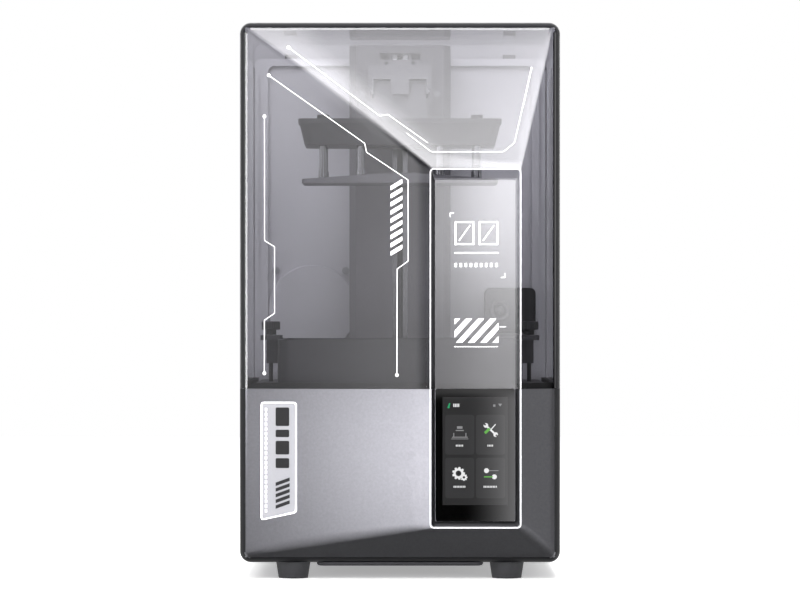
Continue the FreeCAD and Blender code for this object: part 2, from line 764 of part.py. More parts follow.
def camera_housing():
    body = rounded_box(72.8, 117.2, 80, 100, 197.9, 236.8, 5, (0, 1, 0))
    front = [edge for edge in body.Edges if edge.BoundBox.YMax < 80.1]
    body = body.makeFillet(1.5, front)
    seat = rod(86.3, 79, 217.3, 9.1, 6, (0, 1, 0))
    mark = rounded_box(99, 112, 79, 80.6, 206, 229, 2, (0, 1, 0))
    bracket = box(76, 112, 100, 103, 202, 232)
    return less(join([body, bracket]), [seat, mark])


def camera_lens():
    ring = rod(86.3, 76.5, 217.3, 9.1, 8.5, (0, 1, 0))
    ring = ring.cut(Part.makeCone(7.6, 5.2, 4, Vector(86.3, 76.5, 217.3), Vector(0, 1, 0)))
    return ring


# Deck

def seal_bridge():
    # The seal runs round behind the window block here, so the deck's raised step leaves it room.
    return box(window_left - 8.5, window_right + 8.5, -140, panel_y + wall + 4.5, split_z, split_z + 4.8)


def deck_plate():
    inside = envelope(wall)
    slab = inside.common(box(-150, 150, -150, rear_y, split_z - wall, split_z))
    raised = envelope(wall + 4.5).common(box(-150, 150, -150, 92, split_z, split_z + 1.5))
    opening = rounded_box(-stage_half - 1, stage_half + 1, -96.5, 54.5, 140, 170, 7)
    ear_slots = [box(x - 8, x + 8, 50, 70, 140, 170) for x in (-92, 92)]
    block = box(window_left - 4.5, window_right + 4.5, -140, panel_y + wall + 0.5, 100, 170)
    column = box(-column_half, column_half, column_front, 110, split_z, 170)
    motor = rod(0, screw_y, 140, 12, 30, (0, 0, 1))
    raised = raised.cut(seal_bridge())
    return less(join([slab, raised]), [opening, block, column, motor] + ear_slots)


def deck_seal():
    ring = envelope(wall + 0.5).cut(envelope(wall + 4.5))
    ring = ring.common(box(-150, 150, -150, 92, split_z, split_z + 4.8))
    block = box(window_left - 4.5, window_right + 4.5, -140, panel_y + wall + 0.5, 100, 170)
    bridge = seal_bridge().common(envelope(wall + 0.5))
    return join([ring, bridge]).cut(block)


# Lid

def lid_shell():
    hollow = inner.common(box(-150, 150, -150, 150, split_z - 5, 480))
    shell = join([outer.cut(hollow), window_block(outer)])
    shell = shell.common(above_split)
    behind = [box(-150, 150, hinge_y, 150, 0, 480), box(-150, 150, 111, 150, 428.5, 480)]
    return less(shell, [recess, trim] + behind)


def lid_hinge_bar():
    bar = rod(-half_width, hinge_y, hinge_z, hinge_bar_radius, 2 * half_width, (1, 0, 0))
    block = box(-half_width, half_width, 111, hinge_y, 428.5, top_z)
    bar = join([bar, block])
    outline = rounded_box(-half_width, half_width, 100, 150, 0, top_z, corner_radius, (0, 1, 0))
    bar = bar.common(outline)
    notch = hinge_ear_half + 0.4
    gaps = []
    for x in (-hinge_ear_x, hinge_ear_x):
        gaps.append(rod(x - notch, hinge_y, hinge_z, 9.9, 2 * notch, (1, 0, 0)))
        gaps.append(box(x - notch, x + notch, 105, 140, 420, hinge_z))
        gaps.append(box(x - notch, x + notch, hinge_y, 140, 420, 460))
    bores = [rod(x - 14, hinge_y, hinge_z, hinge_pin_radius, 28, (1, 0, 0)) for x in (-hinge_ear_x, hinge_ear_x)]
    return less(bar, gaps + bores)


def hinge_pins():
    return group([rod(x - 14, hinge_y, hinge_z, hinge_pin_radius, 28, (1, 0, 0))
                  for x in (-hinge_ear_x, hinge_ear_x)])


plate = build_plate()
nodes = {
    "base_shell": base_shell(),
    "badge_plate": badge_blank(),
    "window_trim_base": trim.common(below_split),
    "rear_panel": rear_panel(),
    "power_inlet": power_inlet(),
    "switch_frame": switch_frame(),
    "card_socket": card_socket(),
    "bottom_cover": bottom_cover(),
    "feet": feet(),
    "touch_glass": touch_glass(),
    "display_module": display_module(),
    "mainboard": mainboard(),
    "board_standoffs": board_standoffs(),
    "fan_frame": fan_frame(),
    "fan_rotor": fan_rotor(),
    "led_heatsink": led_heatsink(),
    "led_board": led_board(),
    "light_hood": light_hood(),
    "collimating_lens": collimating_lens(),
    "deck_plate": deck_plate(),
    "deck_seal": deck_seal(),
    "stage_brackets": stage_brackets(),
    "tilt_stage": tilt_stage(),
    "mask_screen": mask_screen(),
    "screen_glass": screen_glass(),
    "stage_hinge_pins": stage_hinge_pins(),
    "tilt_motor": tilt_motor(),
    "tilt_cam": tilt_cam(),
    "vat_body": vat_body(),
    "film_frame": film_frame(),
    "release_film": release_film(),
    "vat_knob_left": vat_knob(-1),
    "vat_knob_right": vat_knob(1),
    "column_housing": column_housing(),
    "column_frame": column_frame(),
    "guide_rails": guide_rails(),
    "lead_screw": join([lead_screw(), screw_shaft()]),
    "screw_coupling": screw_coupling(),
    "z_motor": z_motor(),
    "carriage": carriage(),
    "screw_nut": screw_nut(),
    "arm": arm(),
    "latch_lever": latch_lever(),
    "latch_pin": latch_pin(),
    "platform_tray": platform_tray(),
    "carriage_bolts": carriage_bolts(),
    "build_plate": plate,
    "guide_posts": guide_posts(plate),
    "levelling_springs": levelling_springs(),
    "rear_wall": rear_wall(),
    "rear_cover": rear_cover(),
    "filter_cover": filter_cover(),
    "wall_screws": wall_screws(),
    "camera_housing": camera_housing(),
    "camera_lens": camera_lens(),
    "power_switch": switch_rocker(),
    "lid_shell": lid_shell(),
    "lid_hinge_bar": lid_hinge_bar(),
    "hinge_pins": hinge_pins(),
    "window_trim_lid": trim.common(above_split),
}
for name, shape in nodes.items():
    save(name, shape)
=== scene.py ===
import bpy
import bmesh
import math
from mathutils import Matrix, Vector
from mathutils.bvhtree import BVHTree


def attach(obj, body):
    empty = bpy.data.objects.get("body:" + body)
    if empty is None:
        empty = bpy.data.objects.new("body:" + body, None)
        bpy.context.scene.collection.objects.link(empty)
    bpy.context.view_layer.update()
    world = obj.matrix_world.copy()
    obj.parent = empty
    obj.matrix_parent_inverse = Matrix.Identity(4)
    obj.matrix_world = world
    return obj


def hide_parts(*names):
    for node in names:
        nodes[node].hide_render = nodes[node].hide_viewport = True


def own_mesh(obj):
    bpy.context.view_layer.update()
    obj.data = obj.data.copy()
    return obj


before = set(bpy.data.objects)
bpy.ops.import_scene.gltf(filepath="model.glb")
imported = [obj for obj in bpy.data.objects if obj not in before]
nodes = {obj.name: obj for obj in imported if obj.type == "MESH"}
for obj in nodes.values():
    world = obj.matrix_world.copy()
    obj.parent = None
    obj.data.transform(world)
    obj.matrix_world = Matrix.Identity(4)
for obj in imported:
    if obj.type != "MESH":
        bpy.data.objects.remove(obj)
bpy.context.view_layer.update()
mm = 0.001


def linear(hexColour):
    parts = [int(hexColour[i:i + 2], 16) / 255 for i in (1, 3, 5)]
    return [p / 12.92 if p <= 0.04045 else ((p + 0.055) / 1.055) ** 2.4 for p in parts]


def rgba(hexColour):
    return (*linear(hexColour), 1.0)


def addNode(tree, kind, settings=None, links=None, **properties):
    node = tree.nodes.new(kind)
    for name, value in properties.items():
        setattr(node, name, value)
    for key, value in (settings or {}).items():
        node.inputs[key].default_value = value
    for key, source in (links or {}).items():
        if isinstance(source, (int, float)):
            node.inputs[key].default_value = source
        else:
            tree.links.new(source, node.inputs[key])
    return node


def newMaterial(name):
    material = bpy.data.materials.new(name)
    material.use_nodes = True
    material.node_tree.nodes.clear()
    return material, material.node_tree


def finishMaterial(material, tree, shader):
    output = addNode(tree, "ShaderNodeOutputMaterial")
    tree.links.new(shader, output.inputs["Surface"])
    return material


def perMetre(sizeMm):
    return 1000 / sizeMm


def smoothed(mesh, angle):
    for polygon in mesh.polygons:
        polygon.use_smooth = True
    mesh.set_sharp_from_angle(angle=math.radians(angle))


def ringQuads(rings, around, start=0):
    # The quads between closed rings of points that follow each other in the list.
    faces = []
    for ring in range(rings - 1):
        for i in range(around):
            a, b = start + ring * around + i, start + ring * around + (i + 1) % around
            faces.append((a, b, b + around, a + around))
    return faces


def newObject(name, vertices, faces, material=None, smoothAngle=30):
    mesh = bpy.data.meshes.new(name)
    mesh.from_pydata(vertices, [], faces)
    mesh.validate()
    obj = bpy.data.objects.new(name, mesh)
    bpy.context.scene.collection.objects.link(obj)
    if material:
        mesh.materials.append(material)
    smoothed(mesh, smoothAngle)
    return obj


def baked(obj, smoothAngle=30):
    graph = bpy.context.evaluated_depsgraph_get()
    mesh = bpy.data.meshes.new_from_object(obj.evaluated_get(graph))
    obj.modifiers.clear()
    obj.data = mesh
    smoothed(mesh, smoothAngle)
    return obj


def cutAway(obj, x0, x1, y0, y1, z0, z1):
    # Takes a block, in millimetres, out of a closed mesh.
    corners = [(x * mm, y * mm, z * mm) for x in (x0, x1) for y in (y0, y1) for z in (z0, z1)]
    faces = [(0, 1, 3, 2), (4, 6, 7, 5), (0, 4, 5, 1), (2, 3, 7, 6), (0, 2, 6, 4), (1, 5, 7, 3)]
    block = newObject("cutter", corners, faces)
    modifier = obj.modifiers.new("cut", "BOOLEAN")
    modifier.operation = "DIFFERENCE"
    modifier.solver = "EXACT"
    modifier.object = block
    bpy.context.view_layer.update()
    baked(obj, 12)
    bpy.data.objects.remove(block)


def texturedFinish(name, colourA, colourB, grainMm, metallic, roughness, spread, bumpMm, coat=0.0, **sockets):
    # One base finish: two close colours in a fine grain, roughness that varies with it, and a slight bump.
    material, tree = newMaterial(name)
    place = addNode(tree, "ShaderNodeTexCoord")
    grain = addNode(tree, "ShaderNodeTexNoise", {"Scale": perMetre(grainMm), "Detail": 3.0, "Roughness": 0.6},
                    {"Vector": place.outputs["Object"]})
    mix = addNode(tree, "ShaderNodeMix", None,
                  {"Factor": grain.outputs["Fac"]}, data_type="RGBA")
    mix.inputs[6].default_value = rgba(colourA)
    mix.inputs[7].default_value = rgba(colourB)
    gloss = addNode(tree, "ShaderNodeMapRange", {"To Min": roughness - spread, "To Max": roughness + spread},
                    {"Value": grain.outputs["Fac"]})
    bump = addNode(tree, "ShaderNodeBump", {"Strength": 0.5, "Distance": bumpMm * mm},
                   {"Height": grain.outputs["Fac"]})
    settings = {"Metallic": metallic, "Coat Weight": coat, "Coat Roughness": 0.08}
    settings.update(sockets)
    shader = addNode(tree, "ShaderNodeBsdfPrincipled", settings,
                     {"Base Color": mix.outputs[2], "Roughness": gloss.outputs["Result"],
                      "Normal": bump.outputs["Normal"]})
    return finishMaterial(material, tree, shader.outputs["BSDF"])


lidLook = {
    "tint": "#E9E9EA",      # what each face lets through, so four faces together look smoked
    "straightOn": 0.10,     # share each face mirrors straight on; real acrylic's 0.04 is too faint to show
    "roughness": 0.02,
}


def mirrorShare(tree, straightOn):
    # How much a polished see-through face mirrors: a small share straight on, all of it at a glancing look.
    # It is the same from both sides, because the sheet lets light through without bending it.
    weight = addNode(tree, "ShaderNodeLayerWeight", {"Blend": 0.5})
    glancing = addNode(tree, "ShaderNodeMath", None, {0: weight.outputs["Facing"], 1: 5.0}, operation="POWER")
    share = addNode(tree, "ShaderNodeMapRange", {"To Min": straightOn, "To Max": 1.0},
                    {"Value": glancing.outputs[0]})
    return share.outputs["Result"]


def smokedAcrylic(name, tint, roughness):
    # Injection-moulded smoked acrylic, polished: see-through, greys what is behind it, mirrors by Fresnel.
    material, tree = newMaterial(name)
    place = addNode(tree, "ShaderNodeTexCoord")
    haze = addNode(tree, "ShaderNodeTexNoise", {"Scale": perMetre(60), "Detail": 2.0},
                   {"Vector": place.outputs["Object"]})
    tone = addNode(tree, "ShaderNodeMix", None, {"Factor": haze.outputs["Fac"]}, data_type="RGBA")
    tone.inputs[6].default_value = rgba(tint)
    tone.inputs[7].default_value = [min(1, c * 1.06) for c in linear(tint)] + [1]
    through = addNode(tree, "ShaderNodeBsdfTransparent", None, {"Color": tone.outputs[2]})
    mirror = addNode(tree, "ShaderNodeBsdfGlossy", {"Color": (1, 1, 1, 1), "Roughness": roughness})
    mix = addNode(tree, "ShaderNodeMixShader", None,
                  {"Fac": mirrorShare(tree, lidLook["straightOn"]), 1: through.outputs["BSDF"],
                   2: mirror.outputs["BSDF"]})
    return finishMaterial(material, tree, mix.outputs["Shader"])


def paintedShadeRim(name):
    # Painted shade: the same acrylic made opaque and nearly black where it is seen edge-on, still polished.
    return texturedFinish(name, "#151517", "#1B1B1D", 25, 0.0, 0.12, 0.02, 0.0, IOR=1.49)


def silverPaint(name):
    # Sprayed metallic paint: flakes a fraction of a millimetre wide that glint, drawn 0.7 mm to show at all.
    material, tree = newMaterial(name)
    place = addNode(tree, "ShaderNodeTexCoord")
    flakes = addNode(tree, "ShaderNodeTexVoronoi", {"Scale": perMetre(0.7)},
                     {"Vector": place.outputs["Object"]})
    cloud = addNode(tree, "ShaderNodeTexNoise", {"Scale": perMetre(2.2), "Detail": 4.0, "Roughness": 0.7},
                    {"Vector": place.outputs["Object"]})
    mix = addNode(tree, "ShaderNodeMix", None, {"Factor": cloud.outputs["Fac"]}, data_type="RGBA")
    mix.inputs[6].default_value = rgba("#85858A")
    mix.inputs[7].default_value = rgba("#9B9BA0")
    flakeTone = addNode(tree, "ShaderNodeSeparateColor", None, {"Color": flakes.outputs["Color"]})
    gloss = addNode(tree, "ShaderNodeMapRange", {"To Min": 0.29, "To Max": 0.36},
                    {"Value": flakeTone.outputs[0]})
    bump = addNode(tree, "ShaderNodeBump", {"Strength": 0.35, "Distance": 0.01 * mm},
                   {"Height": flakeTone.outputs[1]})
    shader = addNode(tree, "ShaderNodeBsdfPrincipled", {"Metallic": 0.97},
                     {"Base Color": mix.outputs[2], "Roughness": gloss.outputs["Result"],
                      "Normal": bump.outputs["Normal"]})
    return finishMaterial(material, tree, shader.outputs["BSDF"])


def glowing(name, colour, strength, roughness=0.4, pigment=1.0, coat=0.0):
    # Bright print or lit display: a flat colour with some light of its own, which on print is a painted glow.
    # Pigment is how much of the colour shows in other light, and coat is the cover glass over a display.
    material, tree = newMaterial(name)
    place = addNode(tree, "ShaderNodeTexCoord")
    grid = addNode(tree, "ShaderNodeTexNoise", {"Scale": perMetre(1.5)}, {"Vector": place.outputs["Object"]})
    rough = addNode(tree, "ShaderNodeMapRange", {"To Min": roughness - 0.03, "To Max": roughness + 0.03},
                    {"Value": grid.outputs["Fac"]})
    shader = addNode(tree, "ShaderNodeBsdfPrincipled",
                     {"Base Color": [c * pigment for c in linear(colour)] + [1],
                      "Emission Color": rgba(colour), "Emission Strength": strength,
                      "Specular IOR Level": 0.2,
                      "Coat Weight": coat, "Coat Roughness": 0.03}, {"Roughness": rough.outputs["Result"]})
    return finishMaterial(material, tree, shader.outputs["BSDF"])


def clearSheet(name, tint, straightOn, roughness):
    # Clear sheet, glass or film: shows what is under it, with a polished face.
    material, tree = newMaterial(name)
    place = addNode(tree, "ShaderNodeTexCoord")
    wave = addNode(tree, "ShaderNodeTexNoise", {"Scale": perMetre(40)}, {"Vector": place.outputs["Object"]})
    bump = addNode(tree, "ShaderNodeBump", {"Strength": 0.1, "Distance": 0.05 * mm},
                   {"Height": wave.outputs["Fac"]})
    through = addNode(tree, "ShaderNodeBsdfTransparent", {"Color": rgba(tint)})
    mirror = addNode(tree, "ShaderNodeBsdfGlossy", {"Roughness": roughness},
                     {"Normal": bump.outputs["Normal"]})
    mix = addNode(tree, "ShaderNodeMixShader", None,
                  {"Fac": mirrorShare(tree, straightOn), 1: through.outputs["BSDF"],
                   2: mirror.outputs["BSDF"]})
    return finishMaterial(material, tree, mix.outputs["Shader"])


finishes = {
    "lidAcrylic": smokedAcrylic("SmokedAcrylicPolished", lidLook["tint"], lidLook["roughness"]),
    # Painted shade on the lid's rounded rim: near black in place of the see-through acrylic.
    "lidRimPaintedShade": paintedShadeRim("SmokedAcrylicEdgePaintedShade"),
    "silver": silverPaint("MetallicPaintSprayed"),
    # Painted shade on the base's rim along the sides and underneath: the same paint family in charcoal,
    # satin.
    "baseRimShade": texturedFinish("SprayPaintCharcoalPaintedShade", "#121215", "#19191C", 1.2, 0.3, 0.42, 0.05, 0.01),
    # Printed white ink: flat and bright, no gloss to speak of, with a painted glow of its own.
    "whiteInkGlowing": glowing("WhiteInkPrintedGlowing", "#F4F4F6", 0.55, 0.6),
    # Painted highlight: the raised outline of the window, white and satin with a glow of its own, for light
    # caught along the window's edge.
    "outlineHighlight": glowing("WindowEdgePaintedHighlight", "#E4E4E8", 0.28, 0.4),
    # Powder-coated sheet steel: pebbled 1 mm texture that breaks up highlights.
    "powderCoat": texturedFinish("SheetSteelPowderCoated", "#26262A", "#303034", 1.0, 0.0, 0.55, 0.08, 0.05),
    # The same coat in light grey, for the back and the hinge bar.
    "greyCoat": texturedFinish("SheetSteelPowderCoatedGrey", "#8B8A91", "#94939A", 1.0, 0.0, 0.55, 0.06,
                               0.05),
    # Moulded ABS wall: light grey, faint spark-eroded grain.
    "greyAbs": texturedFinish("AbsMouldedGrey", "#9D9CA3", "#A5A4AB", 1.4, 0.0, 0.5, 0.05, 0.02),
    # Black ABS, spark-eroded: dark satin with a soft sheen along its edges.
    "blackAbs": texturedFinish("AbsMouldedBlack", "#161618", "#1E1E20", 1.2, 0.0, 0.42, 0.06, 0.02),
    # Nylon knobs: dark satin.
    "knobNylon": texturedFinish("NylonMouldedSatin", "#1F1F22", "#29292C", 1.0, 0.0, 0.4, 0.05, 0.02),
    # Moulded rubber feet: flat dark grey, hardly any highlight.
    "rubber": texturedFinish("RubberMouldedMatte", "#2B2B2E", "#333336", 1.5, 0.0, 0.6, 0.05, 0.03),
    # Extruded rubber seal: nearly black and matte.
    "sealRubber": texturedFinish("RubberExtrudedMatte", "#0E0E0F", "#151516", 1.5, 0.0, 0.62, 0.05, 0.03),
    # Bead-blasted anodised aluminium: soft grey sheen, no streaks.
    "columnAlu": texturedFinish("AluminiumBeadBlastedAnodised", "#66656B", "#716F76", 0.9, 0.6, 0.5, 0.06,
                                0.02),
    # Die-cast tray, painted: dark grey, a coarser skin than the machined pieces.
    "castAlu": texturedFinish("AluminiumDieCastPainted", "#38373B", "#403F44", 1.6, 0.3, 0.52, 0.07, 0.04),
    # Machined and blasted arm and carriage: mid grey, even, no tool marks left.
    "armAlu": texturedFinish("AluminiumMachinedBlasted", "#68676D", "#717076", 1.1, 0.1, 0.55, 0.06, 0.02),
    # Sandblasted plate: fine pits that scatter its highlight.
    "plateAlu": texturedFinish("AluminiumSandblasted", "#6B6A70", "#79787E", 0.8, 0.7, 0.55, 0.08, 0.05),
    # Dark anodised vat: charcoal with a low metal sheen.
    "vatAlu": texturedFinish("AluminiumAnodisedDark", "#343338", "#3C3B40", 1.3, 0.3, 0.46, 0.06, 0.02),
    # Painted sheet under the lid: dark, satin.
    "deck": texturedFinish("SheetAluminiumPaintedDark", "#3A3A3D", "#434347", 1.2, 0.1, 0.5, 0.06, 0.02),
    # Ground rods and rails: tight bright streaks. Grain drawn 3 mm long so that it shows.
    "steel": texturedFinish("SteelGroundPolished", "#87878B", "#98989C", 3.0, 1.0, 0.12, 0.03, 0.003),
    # Ground steel posts: a bright bar with darker sides.
    "postSteel": texturedFinish("SteelGroundPost", "#96969A", "#A2A2A6", 3.0, 1.0, 0.1, 0.02, 0.003),
    # Zinc-plated bolts and springs: dull grey metal.
    "zinc": texturedFinish("SteelZincPlated", "#3E3E42", "#4A4A4E", 1.0, 0.8, 0.5, 0.06, 0.01),
    # Painted screw heads that nearly match the wall they hold.
    "screwPaint": texturedFinish("SteelScrewPaintedGrey", "#7C7B82", "#86858C", 1.0, 0.0, 0.5, 0.05, 0.01),
    # Turned brass nut: warm yellow metal.
    "brass": texturedFinish("BrassTurned", "#B98F4A", "#CFA65E", 1.2, 1.0, 0.25, 0.06, 0.01),
    # Circuit board: green solder mask with a slight gloss.
    "board": texturedFinish("CircuitBoardSolderMask", "#0F4A2A", "#135732", 1.8, 0.0, 0.3, 0.06, 0.01),
    # Motor body: black paint over steel, satin.
    "motorBlack": texturedFinish("SteelPaintedBlack", "#17171A", "#202024", 1.0, 0.0, 0.4, 0.05, 0.02),
    # Cover glass printed black behind: mirrors like glass, shows nothing of its own.
    "screenBlack": texturedFinish("CoverGlassBlackPrinted", "#020202", "#030303", 20, 0.0, 0.04, 0.01, 0.0),
    # Mask panel: almost black, a little less polished than the cover glass.
    "maskBlack": texturedFinish("LcdPanelPolished", "#050507", "#08080A", 20, 0.0, 0.1, 0.02, 0.0),
    # Float glass: clear, with a cold tint.
    "clearGlass": clearSheet("GlassPolished", "#D8E0E0", 0.04, 0.02),
    # Stretched release film: clear and faintly wavy.
    "film": clearSheet("FluoropolymerFilmStretched", "#E4E6E8", 0.021, 0.06),
    # Coated lens: dark with a blue cast and a hard highlight.
    "lensGlass": texturedFinish("LensCoatedGlass", "#0B0B12", "#14141F", 8, 0.0, 0.06, 0.02, 0.0, coat=1.0),
    # Polycarbonate badge, printed grey: even satin.
    "badgeGrey": texturedFinish("PolycarbonatePrintedGrey", "#8E8E93", "#97979B", 1.0, 0.1, 0.4, 0.05, 0.01),
    # Black print on the badge: flat.
    "badgeDark": texturedFinish("InkScreenPrintedBlack", "#101012", "#161618", 1.0, 0.0, 0.45, 0.05, 0.0),
}
# Display pixels under the cover glass: their own low light, with the glass mirroring on top.
displayColours = {
    "tileGrey": ("ScreenTileLit", "#29292A", 0.9), "panelGrey": ("ScreenBackLit", "#19191A", 0.8),
    "iconWhite": ("ScreenIconWhite", "#E9E9EA", 0.9), "iconGrey": ("ScreenIconGrey", "#8A8A8C", 0.9),
    "iconDark": ("ScreenIconDark", "#0E0E0F", 0.7), "iconGreen": ("ScreenIconGreen", "#58A83C", 1.0),
    "iconTeal": ("ScreenIconTeal", "#1E9E62", 1.0),
}
for finish, (name, colour, strength) in displayColours.items():
    finishes[finish] = glowing(name, colour, strength, 0.4, 0.06, 1.0)
print("materials made:", len(finishes))

nodeFinishes = {
    "powderCoat": ["rear_panel", "bottom_cover"],
    "greyCoat": ["rear_cover", "lid_hinge_bar"],
    "greyAbs": ["rear_wall", "filter_cover"],
    "blackAbs": ["power_inlet", "switch_frame", "card_socket", "fan_frame", "fan_rotor", "power_switch",
                 "light_hood", "display_module", "camera_housing", "tilt_motor", "tilt_cam"],
    "rubber": ["feet"],
    "sealRubber": ["deck_seal"],
    "deck": ["deck_plate", "tilt_stage"],
    "columnAlu": ["column_housing"],
    "plateAlu": ["build_plate", "led_heatsink", "column_frame", "stage_brackets", "film_frame",
                 "screw_coupling"],
    "armAlu": ["carriage", "arm", "latch_lever"],
    "castAlu": ["platform_tray"],
    "vatAlu": ["vat_body"],
    "postSteel": ["guide_posts"],
    "steel": ["guide_rails", "stage_hinge_pins", "hinge_pins", "latch_pin"],
    "zinc": ["carriage_bolts", "levelling_springs", "board_standoffs"],
    "screwPaint": ["wall_screws"],
    "brass": ["screw_nut"],
    "board": ["mainboard", "led_board"],
    "motorBlack": ["z_motor"],
    "maskBlack": ["mask_screen"],
    "clearGlass": ["screen_glass", "collimating_lens"],
    "film": ["release_film"],
    "knobNylon": ["vat_knob_left", "vat_knob_right"],
    "lensGlass": ["camera_lens"],
}
for finish, names in nodeFinishes.items():
    for name in names:
        nodes[name].material_slots[0].material = finishes[finish]


housing = {
    "halfWidth": 130.0, "floor": 13.3, "top": 451.5, "rim": -120.0, "front": -134.0,
    "window": (23.8, 97.9, 42.1, 332.7), "panel": (28.3, 93.1, 47.5, 323.2),
    # The narrow bevel that catches a bright line, then the rounded rim outside it.
    "rimInset": 4.9, "lineWidth": 1.5, "lineTilt": 22.0, "rimTilt": 40.0, "creaseSoftness": 5.0,
    "corner": 9.0, "rimCorner": 4.6, "windowCorner": 3.4, "panelCorner": 1.2, "wall": 3.0,
    "split": 154.5, "gap": 0.3,
    "cornerSteps": 12, "facetSteps": 10, "rimSteps": 8,
    "beyond": 150.0,                                # clear of the housing on every side
    "hingeNotch": (111.0, 428.5, 470.0),            # front, low and high of the space for the hinge bar
    "floorOpening": (-62.0, 62.0, -56.0, 56.0, 5.0, 20.0),
}


def roundedBlock(x0, x1, z0, z1, radius, steps=5):
    # Rounded rectangle in the XZ plane, from the lower right corner round by the top.
    points = []
    for cx, cz, start in ((x1 - radius, z0 + radius, -90), (x1 - radius, z1 - radius, 0),
                          (x0 + radius, z1 - radius, 90), (x0 + radius, z0 + radius, 180)):
        for step in range(steps + 1):
            angle = math.radians(start + 90 * step / steps)
            points.append((cx + radius * math.cos(angle), cz + radius * math.sin(angle)))
    return points


def roundedLoop(x0, x1, z0, z1, radius, y):
    return [(x, y, z) for x, z in roundedBlock(x0, x1, z0, z1, radius, housing["cornerSteps"])]


def inset(rect, amount):
    x0, x1, z0, z1 = rect
    return (x0 + amount, x1 - amount, z0 + amount, z1 - amount)


def between(rectA, rectB, part):
    return tuple(a + (b - a) * part for a, b in zip(rectA, rectB))


def housingLoops(panelDepth, rear):
    h = housing
    outline = (-h["halfWidth"], h["halfWidth"], h["floor"], h["top"])
    window = h["window"]
    line = inset(outline, h["rimInset"] + h["lineWidth"])
    slope = math.radians(h["lineTilt"])
    lineDrop = h["lineWidth"] * math.tan(slope)
    panelCorner, windowCorner, rimCorner = h["panelCorner"], h["windowCorner"], h["rimCorner"]
    lineCorner = h["corner"] - h["rimInset"]
    loops = [roundedLoop(*h["panel"], panelCorner, panelDepth)]
    loops.append(roundedLoop(*inset(window, 1.6), windowCorner - 1.0, h["front"]))
    loops.append(roundedLoop(*window, windowCorner, h["front"]))
    lineDepth = h["rim"] - 0.2
    for step in range(1, h["facetSteps"] + 1):
        part = step / h["facetSteps"]
        radius = windowCorner + (lineCorner - windowCorner) * part
        radius += h["creaseSoftness"] * math.sin(math.pi * part) ** 0.5
        depth = h["front"] + (lineDepth - h["front"]) * part
        loops.append(roundedLoop(*between(window, line, part), radius, depth))
    rimStart = inset(outline, h["rimInset"])
    loops.append(roundedLoop(*rimStart, rimCorner, lineDepth + lineDrop))
    base = lineDepth + lineDrop
    start = math.radians(h["rimTilt"])
    for step in range(1, h["rimSteps"] + 1):
        angle = start + (math.pi / 2 - start) * step / h["rimSteps"]
        reach = (math.sin(angle) - math.sin(start)) / (1 - math.sin(start))
        drop = (math.cos(start) - math.cos(angle)) / (1 - math.sin(start))
        loops.append(roundedLoop(*inset(outline, h["rimInset"] * (1 - reach)),
                                 rimCorner + (h["corner"] - rimCorner) * reach, base + h["rimInset"] * drop))
    loops.append(roundedLoop(*outline, h["corner"], rear))
    wall = h["wall"]
    # The inside of the wall, from the back to the front panel.
    loops.append(roundedLoop(*inset(outline, wall), h["corner"] - wall, rear))
    loops.append(roundedLoop(*inset(outline, wall), h["corner"] - wall, base + 3.5))
    loops.append(roundedLoop(*inset(outline, h["rimInset"] + 1), windowCorner, base + wall - 0.4))
    for step in (3, 2, 1, 0):
        part = step / 4
        radius = windowCorner + h["creaseSoftness"] * math.sin(math.pi * part) ** 0.5
        depth = h["front"] + wall + (lineDepth - h["front"]) * part
        loops.append(roundedLoop(*between(inset(window, -0.5), line, part), radius, depth))
    loops.append(roundedLoop(*inset(h["panel"], -1.5), panelCorner, panelDepth + wall))
    return loops


def housingShell(name, panelDepth, rear):
    loops = housingLoops(panelDepth, rear)
    count = len(loops[0])
    vertices = [(x * mm, y * mm, z * mm) for loop in loops for x, y, z in loop]
    faces = [tuple(range(count))] + ringQuads(len(loops), count)
    faces.append(tuple(reversed(range((len(loops) - 1) * count, len(loops) * count))))
    obj = newObject(name, vertices, faces, None, 12)
    mesh = bmesh.new()
    mesh.from_mesh(obj.data)
    bmesh.ops.recalc_face_normals(mesh, faces=mesh.faces)
    mesh.to_mesh(obj.data)
    mesh.free()
    return obj


def paintFaces(obj, materials, choose):
    # Gives each face the material whose place in the list choose(centre, normal) returns.
    obj.data.materials.clear()
    for material in materials:
        obj.data.materials.append(material)
    for polygon in obj.data.polygons:
        centre = [c / mm for c in polygon.center]
        polygon.material_index = choose(centre, polygon.normal)


lidShell = housingShell("lidShell", -129.5, 122.5)
beyond = housing["beyond"]
notchFront, notchLow, notchHigh = housing["hingeNotch"]
cutAway(lidShell, -beyond, beyond, -beyond, beyond, 0, housing["split"] + housing["gap"])
cutAway(lidShell, -beyond, beyond, notchFront, beyond, notchLow, notchHigh)

lidPaintedShade = {
    "rimReach": 4.7, "rimFront": -121.0, "rimRear": -114.0,
    "blockDepth": -129.6, "blockLeft": 23.9, "blockRight": 28.2, "blockTop": 326.0,
}


def lidAcrylicOrPaintedShade(centre, normal):
    # Painted shade: the rounded rim is drawn near black, as the eye looks along the side wall there, and so
    # is the left side of the proud window block.
    x, y, z = centre
    look = lidPaintedShade
    edge = min(housing["halfWidth"] - abs(x), housing["top"] - z)
    rim = edge < look["rimReach"] and look["rimFront"] < y < look["rimRear"]
    shadedBlockSide = y < look["blockDepth"] and look["blockLeft"] < x < look["blockRight"] and z < look["blockTop"]
    return 1 if rim or shadedBlockSide else 0


paintFaces(lidShell, [finishes["lidAcrylic"], finishes["lidRimPaintedShade"]], lidAcrylicOrPaintedShade)
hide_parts("lid_shell")
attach(lidShell, "lid")

baseShell = housingShell("baseShell", -127.0, 134.0)
cutAway(baseShell, -beyond, beyond, -beyond, beyond, housing["split"], 500)
cutAway(baseShell, *housing["floorOpening"])

basePaintedShade = {"rimReach": 4.4, "rimFront": -121.0, "rimRear": -110.0}


